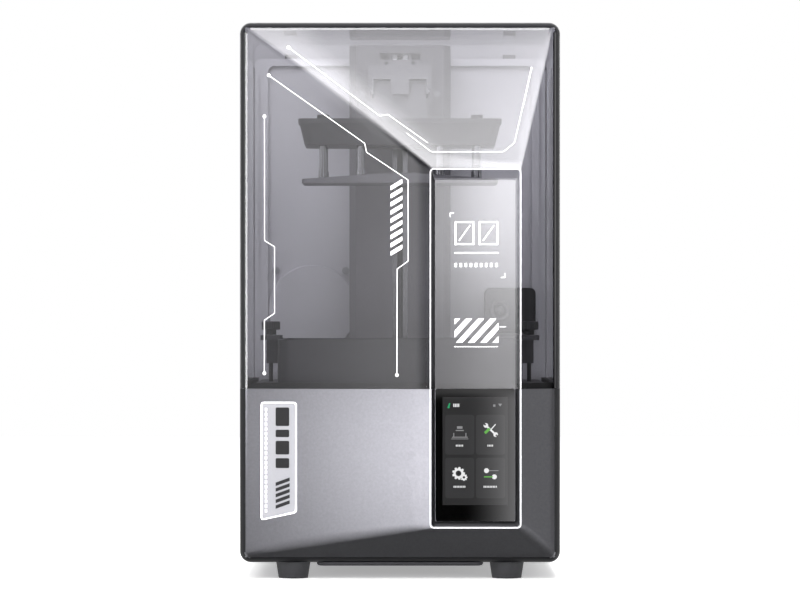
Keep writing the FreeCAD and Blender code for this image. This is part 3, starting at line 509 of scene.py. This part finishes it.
def baseSilverOrPaintedShade(centre, normal):
    # Painted shade: a charcoal rim runs round the front's sides and underneath, where the rounded edge looks
    # dark.
    x, y, z = centre
    look = basePaintedShade
    edge = min(housing["halfWidth"] - abs(x), z - housing["floor"])
    return 1 if edge < look["rimReach"] and look["rimFront"] < y < look["rimRear"] else 0


paintFaces(baseShell, [finishes["silver"], finishes["baseRimShade"]], baseSilverOrPaintedShade)
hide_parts("base_shell")
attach(baseShell, "chassis")
print("housing made")


def treeOf(*objects):
    vertices, faces = [], []
    for obj in objects:
        start = len(vertices)
        vertices += [v.co.copy() for v in obj.data.vertices]
        faces += [[start + i for i in polygon.vertices] for polygon in obj.data.polygons]
    return BVHTree.FromPolygons(vertices, faces)


frontTree = treeOf(lidShell, baseShell)


def frontDepth(x, z):
    hit = frontTree.ray_cast(Vector((x * mm, -0.3, z * mm)), Vector((0, 1, 0)))[0]
    return hit.y / mm


def laidOn(name, polygons, material, proud, body):
    # Thin printed shapes in XZ millimetres, following the front's surface and standing proud of it.
    mesh = bmesh.new()
    for polygon in polygons:
        corners = [mesh.verts.new((x, 0, z)) for x, z in polygon]
        mesh.faces.new(corners)
    bmesh.ops.triangulate(mesh, faces=mesh.faces)
    top = list(mesh.faces)
    for vertex in mesh.verts:
        x, z = vertex.co.x, vertex.co.z
        vertex.co = Vector((x, frontDepth(x, z) - proud, z)) * mm
    made = bmesh.ops.extrude_face_region(mesh, geom=top)
    for part in made["geom"]:
        if isinstance(part, bmesh.types.BMVert):
            part.co.y += proud * 0.9 * mm
    bmesh.ops.recalc_face_normals(mesh, faces=mesh.faces)
    data = bpy.data.meshes.new(name)
    mesh.to_mesh(data)
    mesh.free()
    data.materials.append(material)
    obj = bpy.data.objects.new(name, data)
    bpy.context.scene.collection.objects.link(obj)
    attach(obj, body)
    return obj


def strip(points, width, step=8.0):
    # Quads along a route, mitred at its corners, each no longer than step so that they follow the surface.
    half = width / 2
    sides = []
    for i, (x, z) in enumerate(points):
        ahead = points[min(i + 1, len(points) - 1)]
        behind = points[max(i - 1, 0)]
        before = Vector((x - behind[0], z - behind[1])) if i else None
        after = Vector((ahead[0] - x, ahead[1] - z)) if i < len(points) - 1 else None
        first = (before or after).normalized()
        second = (after or before).normalized()
        normal = Vector((-first.y - second.y, first.x + second.x)).normalized()
        reach = half / max(0.4, normal.dot(Vector((-first.y, first.x))))
        across = normal * reach
        sides.append(((x + across.x, z + across.y), (x - across.x, z - across.y)))
    quads = []
    for (leftA, rightA), (leftB, rightB) in zip(sides, sides[1:]):
        length = math.dist(leftA, leftB)
        count = max(1, math.ceil(length / step))
        for part in range(count):
            low, high = part / count, (part + 1) / count
            quads.append([tuple(a + (b - a) * t for a, b in zip(p, q))
                          for p, q, t in ((leftA, leftB, low), (leftA, leftB, high),
                                          (rightA, rightB, high), (rightA, rightB, low))])
    return quads


def disc(x, z, radius, sides=20):
    return [(x + radius * math.cos(2 * math.pi * i / sides), z + radius * math.sin(2 * math.pi * i / sides))
            for i in range(sides)]


def block(x0, x1, z0, z1):
    return [(x0, z0), (x1, z0), (x1, z1), (x0, z1)]


lidPrint = {
    "lineWidth": 0.55, "dot": 1.4, "proud": 0.12,
    "crestLine": [(-90.1, 430.6), (-16.3, 374.8), (-9.9, 376.1), (22.4, 353.1)],
    "longLine": [(-106.2, 408.1), (-28.5, 352.8), (-27.0, 345.6), (6.5, 323.1), (6.6, 257.7),
                 (-2.3, 251.3), (-2.5, 165.8)],
    "sideLine": [(-109.7, 374.9), (-109.6, 274.4), (-101.5, 269.4), (-101.5, 215.6), (-109.8, 209.9),
                 (-109.8, 167.0)],
    "topRightLine": [(5.6, 360.7), (25.3, 345.8), (83.2, 345.8), (92.3, 353.1), (106.4, 414.4)],
}


def printedLines():
    look = lidPrint
    shapes = []
    for route in ("crestLine", "longLine", "sideLine", "topRightLine"):
        shapes += strip(look[route], look["lineWidth"])
    for route, ends in (("crestLine", (0,)), ("longLine", (0, -1)), ("sideLine", (0, -1))):
        for end in ends:
            shapes.append(disc(*look[route][end], look["dot"]))
    shapes += strip([(99.6, 384.0), (106.4, 414.4)], 1.0)
    for row in range(9):
        z = 262.0 + row * 6.6
        shapes.append([(-7.6, z), (-7.6, z + 3.4), (1.8, z + 9.0), (1.8, z + 5.6)])
    return laidOn("lidPrintedLines", shapes, finishes["whiteInkGlowing"], look["proud"], "lid")


windowPrint = {
    "left": 44.0, "right": 79.4, "mark": (270.6, 290.0), "rule": 264.3, "captionRow": (252.9, 256.1),
    "hazard": (191.9, 211.3), "finePrint": 188.6,
}


def windowMarks():
    look = windowPrint
    left, right = look["left"], look["right"]
    shapes = []
    low, high = look["mark"]
    # Two hollow cells, each crossed by one diagonal, as a plain ornament.
    for x0 in (left, right - 16.0):
        x1 = x0 + 16.0
        shapes += strip([(x0 + 0.8, low + 0.8), (x1 - 0.8, low + 0.8), (x1 - 0.8, high - 0.8),
                         (x0 + 0.8, high - 0.8), (x0 + 0.8, low)], 1.2)
        shapes += strip([(x0 + 3.6, low + 3.6), (x1 - 3.6, high - 3.6)], 0.9)
    shapes.append(block(left, right, look["rule"] - 0.6, look["rule"] + 0.6))
    # Caption cells stand where a line of words would.
    for i in range(9):
        x = left + i * 4.1
        shapes.append(block(x, x + 1.9, *look["captionRow"]))
    low, high = look["hazard"]
    tall = high - low
    for i in range(-2, 4):
        x = left + 1.2 + i * 9.8
        shapes.append(clippedStripe(x, x + 5.0, low, tall, left, right))
    for i in range(17):
        x = left + i * 2.09
        shapes.append(block(x, x + 1.3, look["finePrint"] - 0.4, look["finePrint"] + 0.4))
    shapes += strip([(40.5, 293.2), (40.5, 296.5), (43.6, 296.5)], 0.7)
    shapes += strip([(81.5, 244.5), (84.6, 244.5), (84.6, 247.8)], 0.7)
    shapes.append(block(80.2, 85.6, 204.4, 204.9))
    shapes = [shape for shape in shapes if shape]
    return laidOn("windowPrintedMarks", shapes, finishes["whiteInkGlowing"], lidPrint["proud"], "lid")


def clippedStripe(x0, x1, low, tall, left, right):
    # A forward-leaning stripe kept between the left and right limits.
    corners = [(x0, 0), (x1, 0), (x1 + tall * 0.92, tall), (x0 + tall * 0.92, tall)]
    for limit, keepAbove in ((left, True), (right, False)):
        kept = []
        for (xa, za), (xb, zb) in zip(corners, corners[1:] + corners[:1]):
            insideA = xa >= limit if keepAbove else xa <= limit
            insideB = xb >= limit if keepAbove else xb <= limit
            if insideA:
                kept.append((xa, za))
            if insideA != insideB:
                part = (limit - xa) / (xb - xa)
                kept.append((limit, za + (zb - za) * part))
        corners = kept
        if len(corners) < 3:
            return None
    return [(x, low + z) for x, z in corners]


printedLines()
windowMarks()


# Size of the painted highlight line round the window.
windowHighlightLine = {"outer": 0.2, "inner": 1.1, "outerCorner": 3.2, "innerCorner": 2.4, "proud": 0.15, "sunk": 0.3}


def paintedWindowHighlight(name, body, low, high, cad):
    # Raised outline round the proud window rectangle, white and glowing as a painted highlight along the
    # window's edge, cut where the lid meets the base.
    look = windowHighlightLine
    window, steps = housing["window"], housing["cornerSteps"]
    outer = roundedBlock(*inset(window, look["outer"]), look["outerCorner"], steps)
    inner = roundedBlock(*inset(window, look["inner"]), look["innerCorner"], steps)
    shapes = []
    for i in range(len(outer)):
        j = (i + 1) % len(outer)
        quad = [outer[i], outer[j], inner[j], inner[i]]
        quad = [(x, min(max(z, low), high)) for x, z in quad]
        height = max(z for x, z in quad) - min(z for x, z in quad)
        width = max(x for x, z in quad) - min(x for x, z in quad)
        if height > 0.01 and width > 0.01:
            shapes.append(quad)
    vertices, faces = [], []
    for quad in shapes:
        start = len(vertices)
        for depth in (housing["front"] - look["proud"], housing["front"] + look["sunk"]):
            vertices += [(x * mm, depth * mm, z * mm) for x, z in quad]
        faces += [(start, start + 1, start + 2, start + 3), (start + 7, start + 6, start + 5, start + 4)]
        faces += [(start + a, start + 4 + a, start + 4 + b, start + b)
                  for a, b in ((0, 1), (1, 2), (2, 3), (3, 0))]
    obj = newObject(name, vertices, faces, finishes["outlineHighlight"])
    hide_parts(cad)
    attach(obj, body)
    return obj


paintedWindowHighlight("windowHighlightLid", "lid", housing["split"] + housing["gap"], 400, "window_trim_lid")
paintedWindowHighlight("windowHighlightBase", "chassis", 0, housing["split"] - 0.1, "window_trim_base")


badge = {"left": -112.8, "right": -83.4, "top": 143.9, "lowLeft": 47.9, "lowRight": 54.2, "line": 1.2}


def badgePlate():
    look = badge
    outline = [(look["left"], look["lowLeft"]), (look["right"], look["lowRight"]),
               (look["right"], look["top"]), (look["left"], look["top"])]
    edge = look["line"]
    inner = [(look["left"] + edge, look["lowLeft"] + edge * 1.1),
             (look["right"] - edge, look["lowRight"] + edge),
             (look["right"] - edge, look["top"] - edge), (look["left"] + edge, look["top"] - edge)]
    plate = laidOn("badgePlate", [softCorners(outline, 3.0)], finishes["whiteInkGlowing"], 0.25, "chassis")
    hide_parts("badge_plate")
    laidOn("badgeField", [softCorners(inner, 2.2)], finishes["badgeGrey"], 0.34, "chassis")
    shapes = []
    # Plain blocks of several lengths stand where a mark would be, with slanted bars below them.
    for start, length in ((0, 15), (18, 6), (27, 11), (41, 8)):
        top = look["top"] - 4.5 - start
        shapes.append(softCorners(block(-100.6, -89.6, top - length, top), 1.2))
    for i in range(5):
        top = 81.0 - i * 4.6
        shapes.append([(-100.6, top - 5.2), (-89.2, top - 1.0), (-89.2, top + 1.8), (-100.6, top - 2.4)])
    laidOn("badgeBars", shapes, finishes["badgeDark"], 0.42, "chassis")
    dashes = []
    for i in range(22):
        top = look["top"] - 5 - i * 3.9
        dashes.append(block(-109.2, -107.6, top - 2.6, top))
    laidOn("badgeDashes", dashes, finishes["whiteInkGlowing"], 0.42, "chassis")


def softCorners(points, radius, steps=5):
    # Rounds each corner of an outline.
    result = []
    count = len(points)
    for i in range(count):
        here = Vector(points[i])
        back = (Vector(points[i - 1]) - here).normalized()
        ahead = (Vector(points[(i + 1) % count]) - here).normalized()
        for step in range(steps + 1):
            part = step / steps
            a = here + back * radius
            b = here + ahead * radius
            point = a * (1 - part) ** 2 + here * 2 * part * (1 - part) + b * part ** 2
            result.append((point.x, point.y))
    return result


badgePlate()
print("printed marks made")


bottomLip = {"halfWidth": 67.5, "front": -113.0, "rear": 112.0, "low": 10.5, "high": 13.5, "corner": 6.0}


def bottomCoverLip():
    # The cover's folded edge, which hangs just below the base all round, with a small chamfer underneath.
    look = bottomLip
    rings = []
    for z, shrink in ((look["high"], 0.0), (look["low"] + 1.6, 0.0), (look["low"] + 0.4, 0.7),
                      (look["low"], 2.2), (look["high"], 2.2)):
        outline = roundedBlock(-look["halfWidth"] + shrink, look["halfWidth"] - shrink,
                               look["front"] + shrink, look["rear"] - shrink, look["corner"] - shrink, 6)
        rings.append([(x * mm, y * mm, z * mm) for x, y in outline])
    count = len(rings[0])
    vertices = [point for ring in rings for point in ring]
    faces = ringQuads(len(rings), count)
    # The last ring joins the first again, which closes the band.
    last = (len(rings) - 1) * count
    faces += [(last + i, last + (i + 1) % count, (i + 1) % count, i) for i in range(count)]
    obj = newObject("bottomCoverLip", vertices, faces, finishes["powderCoat"], 30)
    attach(obj, "chassis")


bottomCoverLip()


screen = {
    "left": 34.4, "right": 86.9, "low": 60.8, "high": 148.1, "glass": -129.5, "glassBack": -127.0,
    "pane": (28.5, 92.9, 47.7, 154.5), "paneCorner": 1.5,
}


def glassShapes(name, shapes, material, proud):
    vertices, faces = [], []
    depth = screen["glass"] - proud
    for shape in shapes:
        start = len(vertices)
        count = len(shape)
        vertices += [(x * mm, depth * mm, z * mm) for x, z in shape]
        vertices += [(x * mm, (depth + 0.03) * mm, z * mm) for x, z in shape]
        faces.append(tuple(range(start, start + count)))
        faces.append(tuple(reversed(range(start + count, start + 2 * count))))
        for i in range(count):
            j = (i + 1) % count
            faces.append((start + i, start + count + i, start + count + j, start + j))
    obj = newObject(name, vertices, faces, material, 20)
    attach(obj, "chassis")
    return obj


def touchGlass():
    outline = roundedBlock(*screen["pane"], screen["paneCorner"])
    vertices = [(x * mm, screen["glass"] * mm, z * mm) for x, z in outline]
    vertices += [(x * mm, screen["glassBack"] * mm, z * mm) for x, z in outline]
    count = len(outline)
    faces = [tuple(range(count)), tuple(reversed(range(count, 2 * count)))]
    faces += [(i, count + i, count + (i + 1) % count, (i + 1) % count) for i in range(count)]
    obj = newObject("touchGlass", vertices, faces, finishes["screenBlack"], 20)
    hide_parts("touch_glass")
    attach(obj, "chassis")


def toothedWheel(x, z, radius, teeth):
    points = []
    for tooth in range(teeth):
        for offset, reach in ((-0.36, 0.78), (-0.2, 1.0), (0.2, 1.0), (0.36, 0.78)):
            angle = 2 * math.pi * (tooth + offset) / teeth
            points.append((x + radius * reach * math.cos(angle), z + radius * reach * math.sin(angle)))
    return points


def bar(xa, za, xb, zb, width):
    return strip([(xa, za), (xb, zb)], width, 100)[0]


def screenPicture():
    look = screen
    glassShapes("screenBackground", [block(look["left"], look["right"], look["low"], look["high"])],
                finishes["panelGrey"], 0.04)
    columns = ((36.4, 59.9), (61.3, 84.8))
    rows = ((101.5, 133.7), (66.3, 99.0))
    tiles = [roundedBlock(x0, x1, z0, z1, 2.2) for x0, x1 in columns for z0, z1 in rows]
    glassShapes("screenTiles", tiles, finishes["tileGrey"], 0.08)
    # Printer outline, crossed tools, gear and two sliders.
    white = [bar(69.4, 125.0, 77.1, 117.8, 1.5), disc(69.3, 125.1, 1.9, 14), disc(77.2, 117.7, 1.9, 14),
             bar(73.1, 121.4, 77.2, 126.1, 0.8), toothedWheel(47.2, 86.4, 5.2, 9),
             toothedWheel(51.6, 83.2, 2.9, 8),
             disc(69.8, 88.6, 2.0, 16), disc(76.2, 83.6, 2.0, 16)]
    glassShapes("screenIconsWhite", white, finishes["iconWhite"], 0.12)
    grey = [bar(*line) for line in (
        (46.0, 123.4, 50.4, 123.4, 2.0), (45.0, 121.0, 51.4, 121.0, 0.8), (42.0, 115.6, 54.6, 115.6, 0.7),
        (43.4, 119.0, 43.4, 115.6, 0.7), (53.2, 119.0, 53.2, 115.6, 0.7), (41.4, 114.2, 55.2, 114.2, 0.5),
        (70.5, 88.6, 79.5, 88.6, 0.5))]
    glassShapes("screenIconsGrey", grey, finishes["iconGrey"], 0.11)
    dark = [disc(47.2, 86.4, 2.3, 18), disc(51.6, 83.2, 1.0, 12), bar(67.6, 126.8, 69.1, 125.3, 1.4),
            bar(77.5, 117.4, 79.0, 115.9, 1.4)]
    glassShapes("screenIconCutouts", dark, finishes["tileGrey"], 0.16)
    glassShapes("screenGearHub", [disc(47.2, 86.4, 1.0, 14)], finishes["iconDark"], 0.19)
    green = [bar(68.5, 118.9, 72.5, 122.7, 2.1), bar(67.8, 83.6, 75.0, 83.6, 0.9)]
    glassShapes("screenIconsGreen", green, finishes["iconGreen"], 0.15)
    glassShapes("screenThermometer", [bar(39.3, 140.0, 40.1, 143.0, 1.1), disc(39.2, 139.8, 0.9, 12)],
                finishes["iconTeal"], 0.12)
    words = []
    for centre, z, letters in ((48.2, 108.8, 5), (73.0, 108.8, 4), (48.2, 75.6, 8), (73.0, 75.6, 9)):
        # Word bars stand where each caption would be.
        start = centre - letters * 0.62
        words += [block(start + i * 1.24, start + i * 1.24 + 0.8, z - 0.75, z + 0.75) for i in range(letters)]
    words += [block(43.0 + i * 1.3, 43.9 + i * 1.3, 140.0, 142.6) for i in range(4)]
    glassShapes("screenWordBars", words, finishes["iconWhite"], 0.1)
    signs = [block(75.2, 77.0, 140.2, 142.0), [(79.2, 142.6), (80.8, 140.4), (82.4, 142.6)]]
    glassShapes("screenSigns", signs, finishes["iconGrey"], 0.1)


touchGlass()
screenPicture()
print("touch screen made")


thread = {"radius": 4.0, "depth": 1.1, "pitch": 2.0, "starts": 2, "low": 165.5, "high": 436.0, "y": 76.0}


def leadScrew():
    look = thread
    around = 24
    rowHeight = 0.4
    rows = int((look["high"] - look["low"]) / rowHeight)
    lead = look["pitch"] * look["starts"]
    vertices, faces = [], []
    for row in range(rows + 1):
        z = look["low"] + row * rowHeight
        for i in range(around):
            phase = (z / lead - i / around) * look["starts"] % 1.0
            crest = min(1.0, max(0.0, 2.2 * abs(phase - 0.5) - 0.1))
            reach = look["radius"] - look["depth"] * crest
            angle = 2 * math.pi * i / around
            vertices.append((reach * math.cos(angle) * mm, (look["y"] + reach * math.sin(angle)) * mm,
                             z * mm))
    faces += ringQuads(rows + 1, around)
    faces.append(tuple(reversed(range(around))))
    faces.append(tuple(range(rows * around, (rows + 1) * around)))
    obj = newObject("leadScrewThread", vertices, faces, finishes["steel"], 40)
    # Plain journals below and above the thread.
    ends = [(137.0, look["low"], 2.5), (look["high"], 440.0, look["radius"])]
    for index, (low, high, radius) in enumerate(ends):
        lower = [(radius * math.cos(t) * mm, (look["y"] + radius * math.sin(t)) * mm, low * mm)
                 for t in [2 * math.pi * i / around for i in range(around)]]
        upper = [(x, y, high * mm) for x, y, z in lower]
        caps = [tuple(reversed(range(around))), tuple(range(around, 2 * around))]
        end = newObject("leadScrewEnd" + str(index), lower + upper, ringQuads(2, around) + caps,
                        finishes["steel"], 40)
        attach(end, "z_screw")
    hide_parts("lead_screw")
    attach(obj, "z_screw")


leadScrew()
print("lead screw made")


levelSprings = {
    "columns": (-63.7, -32.7, 32.7, 63.7), "rows": (-50.0, 6.0), "low": 362.42, "rise": 9.1, "pitch": 2.3,
    "radius": 2.1, "wire": 0.4, "topEnd": 371.9, "travel": 4.0,
}


def springCoils():
    # Round-wire coils on the post tops, in one fixed shape; the real ones close up as the build plate is
    # pushed up.
    look = levelSprings
    around, perTurn = 8, 20
    turns = look["rise"] / look["pitch"]
    count = int(turns * perTurn)
    vertices, faces = [], []
    for column in look["columns"]:
        for row in look["rows"]:
            start = len(vertices)
            for step in range(count + 1):
                turn = 2 * math.pi * turns * step / count
                for side in range(around):
                    angle = 2 * math.pi * side / around
                    reach = look["radius"] + look["wire"] * math.cos(angle)
                    z = look["low"] + look["rise"] * step / count + look["wire"] * math.sin(angle)
                    vertices.append(((column + reach * math.cos(turn)) * mm,
                                     (row + reach * math.sin(turn)) * mm, z * mm))
            faces += ringQuads(count + 1, around, start)
            faces.append(tuple(start + side for side in reversed(range(around))))
            faces.append(tuple(start + count * around + side for side in range(around)))
    obj = newObject("levellingSpringCoils", vertices, faces, finishes["zinc"], 60)
    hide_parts("levelling_springs")
    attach(obj, "carriage_body")
    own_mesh(obj)


springCoils()
print("levelling springs made")


lens = {"x": 86.3, "z": 217.3}


def cameraLens():
    # Turned barrel with a bright front ring, a black inner cone and a domed glass.
    parts = [("lensBarrel", [(9.1, 85), (9.1, 77.4), (8.6, 76.7), (8.0, 76.7)], "blackAbs"),
             ("lensRing", [(8.0, 76.7), (7.4, 76.9), (6.6, 77.7)], "plateAlu"),
             ("lensCone", [(6.6, 77.7), (6.2, 78.0), (5.0, 80.4)], "blackAbs"),
             ("lensGlass", [(5.0, 80.4), (4.4, 79.8), (3.4, 79.3), (2.2, 78.9), (1.0, 78.7), (0.02, 78.7)],
              "lensGlass")]
    sides = 48
    for name, profile, finish in parts:
        vertices = [((lens["x"] + r * math.cos(2 * math.pi * i / sides)) * mm, y * mm,
                     (lens["z"] + r * math.sin(2 * math.pi * i / sides)) * mm)
                    for r, y in profile for i in range(sides)]
        faces = [(row * sides + i, (row + 1) * sides + i, (row + 1) * sides + (i + 1) % sides,
                  row * sides + (i + 1) % sides) for row in range(len(profile) - 1) for i in range(sides)]
        obj = newObject(name, vertices, faces, finishes[finish], 35)
        if name == "lensBarrel":
            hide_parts("camera_lens")
        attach(obj, "chassis")


cameraLens()
print("camera lens made")


studio = {
    "floorSize": 6.0,
    "screenDistance": 0.9,      # metres in front of the printer
    "screenTint": "#FCFBFD",
    "leftStrength": (0.27, 0.78),
    "topStrength": (2.8, 2.15),
    "creaseStrength": 2.2,
    "paintStrength": 14.0,
    "windowStrength": (1.5, 2.6),
    "glassStrength": 3.4,
    "sideStrength": 2.1,
    "paperStrength": 0.5,
    "lineStrength": (7.5, 7.5),
    "keyPower": 60, "fillPower": 18, "topPower": 36, "chamberPower": 13,
}


def gradient(tree, places, *steps, times=None):
    # Light that changes from place to place: each step goes from one strength to another between two
    # places along its axis and holds them beyond, and the steps are multiplied together.
    product = times
    for axis, start, end, low, high in steps:
        step = addNode(tree, "ShaderNodeMapRange",
                       {"From Min": start, "From Max": end, "To Min": low, "To Max": high},
                       {"Value": places[axis]}, interpolation_type="SMOOTHSTEP").outputs["Result"]
        if product is not None:
            step = addNode(tree, "ShaderNodeMath", None, {0: product, 1: step},
                           operation="MULTIPLY").outputs[0]
        product = step
    return product


def summed(tree, *parts):
    total = parts[0]
    for part in parts[1:]:
        total = addNode(tree, "ShaderNodeMath", None, {0: total, 1: part}, operation="ADD").outputs[0]
    return total


def lightScreen():
    # One big screen between camera and printer that only reflections see. Its brightness is a slow gradient,
    # so each flat face of the housing, tilted its own way, shows its own part of it.
    look = studio
    depth = -look["screenDistance"]
    left, right, low, high = -1.3, 1.3, -0.15, 1.6
    corners = [(left, depth, low), (right, depth, low), (right, depth, high), (left, depth, high)]
    mesh = bpy.data.meshes.new("lightScreen")
    mesh.from_pydata(corners, [], [(0, 3, 2, 1)])
    obj = bpy.data.objects.new("lightScreen", mesh)
    bpy.context.scene.collection.objects.link(obj)
    material, tree = newMaterial("LightScreenGlow")
    place = addNode(tree, "ShaderNodeTexCoord")
    axes = addNode(tree, "ShaderNodeSeparateXYZ", None, {"Vector": place.outputs["Object"]})
    # Places are metres on this screen, X to the right and Z up, and the slant falls to the right.
    fall = addNode(tree, "ShaderNodeMath", {1: 0.88}, {0: axes.outputs["X"]}, operation="MULTIPLY")
    places = {"X": axes.outputs["X"], "Z": axes.outputs["Z"],
              "slant": summed(tree, axes.outputs["Z"], fall.outputs[0], -0.58)}
    # Left face of lid and base, with more light at its far upper corner.
    leftSteps = [("X", -0.115, -0.06, 1, 0), ("X", -0.30, -0.12, *look["leftStrength"]),
                 ("Z", 0.12, 0.50, 0.9, 1.3), ("Z", 0.0, 0.13, 0, 1), ("Z", 0.52, 0.62, 1, 0),
                 ("X", -0.60, -0.45, 0, 1)]
    leftPart = gradient(tree, places, *leftSteps)
    leftCorner = gradient(tree, places, *leftSteps, ("Z", 0.30, 0.45, 0, 1.3), ("X", -0.30, -0.19, 1, 0))
    # The base's paint, low down.
    paintPart = gradient(tree, places, ("X", -0.28, -0.05, 0, look["paintStrength"]),
                         ("X", -0.05, 0.03, 1, 0), ("Z", -0.07, 0.12, 0.05, 1), ("Z", 0.125, 0.135, 1, 0))
    # Top face: brightest along its left-hand crease, which runs at a slant here, and at its right-hand end.
    topSteps = [("slant", -0.19, -0.03, 0, 1), ("Z", 0.40, 0.52, 0, 1), ("X", 0.30, 0.50, 1, 0),
                ("Z", 0.74, 0.85, 1, 0.03)]
    crest = gradient(tree, places, ("slant", -0.01, 0.035, look["creaseStrength"], 0), *topSteps)
    across = gradient(tree, places, ("Z", 0.56, 0.68, *look["topStrength"]), ("X", 0.06, 0.20, 1, 1.45),
                      *topSteps)
    # Window panel above the screen.
    windowPart = gradient(tree, places, ("X", -0.03, 0.03, 0, 1),
                          ("X", 0.035, 0.115, *look["windowStrength"]), ("Z", 0.15, 0.33, 0.72, 1.5),
                          ("Z", 0.125, 0.135, 0, 1), ("Z", 0.45, 0.53, 1, 0), ("X", 0.20, 0.36, 1, 0))
    # Touch glass: black on the left, then steadily lighter.
    slope = addNode(tree, "ShaderNodeMapRange", {"From Min": 0.064, "From Max": 0.114},
                    {"Value": places["X"]})
    rise = addNode(tree, "ShaderNodeMath", {1: 2.2}, {0: slope.outputs["Result"]}, operation="POWER")
    glassPart = gradient(tree, places, ("Z", 0.125, 0.135, look["glassStrength"], 0),
                         ("X", 0.16, 0.22, 1, 0), times=rise.outputs[0])
    # Two bands that light the narrow bevel along the left and top edges.
    leftBand = gradient(tree, places, ("X", -0.84, -0.80, look["lineStrength"][0], 0),
                        ("X", -1.12, -1.08, 0, 1), ("Z", 0.11, 0.13, 0, 1))
    topBand = gradient(tree, places, ("Z", 1.16, 1.20, 0, look["lineStrength"][1]),
                       ("Z", 1.46, 1.50, 1, 0), ("X", 0.3, 0.5, 1, 0))
    total = summed(tree, leftPart, leftCorner, paintPart, crest, across, windowPart, glassPart, leftBand,
                   topBand)
    emission = addNode(tree, "ShaderNodeEmission", {"Color": rgba(look["screenTint"])}, {"Strength": total})
    finishMaterial(material, tree, emission.outputs["Emission"])
    mesh.materials.append(material)
    obj.visible_camera = False
    obj.visible_diffuse = False
    obj.visible_transmission = False
    obj.visible_shadow = False


def areaLight(name, place, target, size, power):
    light = bpy.data.lights.new(name, "AREA")
    light.shape = "RECTANGLE"
    light.size, light.size_y = size
    light.energy = power
    obj = bpy.data.objects.new(name, light)
    obj.location = place
    obj.rotation_euler = (Vector(target) - Vector(place)).to_track_quat("-Z", "Y").to_euler()
    obj.visible_glossy = False
    bpy.context.scene.collection.objects.link(obj)


floorMesh = bpy.data.meshes.new("studioFloor")
half = studio["floorSize"] / 2
floorMesh.from_pydata([(-half, -half, 0), (half, -half, 0), (half, half, 0), (-half, half, 0)], [],
                      [(0, 1, 2, 3)])
floor = bpy.data.objects.new("studioFloor", floorMesh)
bpy.context.scene.collection.objects.link(floor)
floorMaterial, floorTree = newMaterial("FloorPaperWhite")
floorShader = addNode(floorTree, "ShaderNodeBsdfPrincipled",
                      {"Base Color": (0.95, 0.95, 0.95, 1), "Roughness": 0.9, "Emission Color": (1, 1, 1, 1),
                       "Emission Strength": 0.35})
finishMaterial(floorMaterial, floorTree, floorShader.outputs["BSDF"])
floorMesh.materials.append(floorMaterial)
floor.visible_glossy = False

world = bpy.data.worlds.new("studioWorld")
bpy.context.scene.world = world
world.use_nodes = True
tree = world.node_tree
tree.nodes.clear()
path = addNode(tree, "ShaderNodeLightPath")
place = addNode(tree, "ShaderNodeTexCoord")
split = addNode(tree, "ShaderNodeSeparateXYZ", None, {"Vector": place.outputs["Generated"]})
sideways = addNode(tree, "ShaderNodeMath", None, {0: split.outputs["X"]}, operation="ABSOLUTE")
directions = {"Y": split.outputs["Y"], "Z": split.outputs["Z"], "sideways": sideways.outputs[0]}
paper = studio["paperStrength"]
# Reflections see a dark room with one tall grey panel on either side of the printer.
sidePanels = gradient(tree, directions, ("Z", -0.06, 0.02, 0.05, 1), ("Z", 0.14, 0.30, 1, 0),
                      ("Y", -0.52, -0.30, 0, 1), ("Y", 0.05, 0.25, studio["sideStrength"], 0))
# Behind the printer there is pale paper, and pale floor shows on either side of the dark card in front.
behind = gradient(tree, directions, ("Y", 0.15, 0.45, 0.05, paper))
paleFloor = gradient(tree, directions, ("sideways", 0.5, 0.7, 0, paper), ("Z", -0.25, -0.10, 1, 0))
room = summed(tree, sidePanels, behind, paleFloor)
soft = gradient(tree, directions, ("Z", -0.02, 0.02, 0.12, 0.6))
glossy = path.outputs["Is Glossy Ray"]
amount = addNode(tree, "ShaderNodeMix", None, {"Factor": glossy, 2: soft, 3: room})
lit = addNode(tree, "ShaderNodeBackground", {"Color": (1, 1, 1, 1)}, {"Strength": amount.outputs[0]})
seen = addNode(tree, "ShaderNodeBackground", {"Color": (1, 1, 1, 1), "Strength": 1.0})
both = addNode(tree, "ShaderNodeMixShader", None,
               {"Fac": path.outputs["Is Camera Ray"], 1: lit.outputs["Background"],
                2: seen.outputs["Background"]})
addNode(tree, "ShaderNodeOutputWorld", None, {"Surface": both.outputs["Shader"]})

lightScreen()
areaLight("keyLight", (-1.4, -2.0, 1.9), (0, 0, 0.2), (1.6, 1.6), studio["keyPower"])
areaLight("fillLight", (1.2, -2.4, 0.9), (0, 0, 0.25), (1.4, 1.4), studio["fillPower"])
areaLight("topLight", (0, 0.1, 2.2), (0, 0, 0.3), (1.6, 1.6), studio["topPower"])
areaLight("chamberLight", (0, -0.35, 1.05), (0, 0.05, 0.3), (0.6, 0.4), studio["chamberPower"])

camera = {"distance": 3.119, "height": 0.2263, "lens": 166.7}
cameraData = bpy.data.cameras.new("camera")
cameraData.lens = camera["lens"]
cameraData.sensor_width = 36.0
cameraObject = bpy.data.objects.new("camera", cameraData)
cameraObject.location = (0, -camera["distance"], camera["height"])
cameraObject.rotation_euler = (math.radians(90), 0, 0)
bpy.context.scene.collection.objects.link(cameraObject)
bpy.context.scene.camera = cameraObject
bpy.context.scene.view_settings.view_transform = "Standard"
print("studio made")
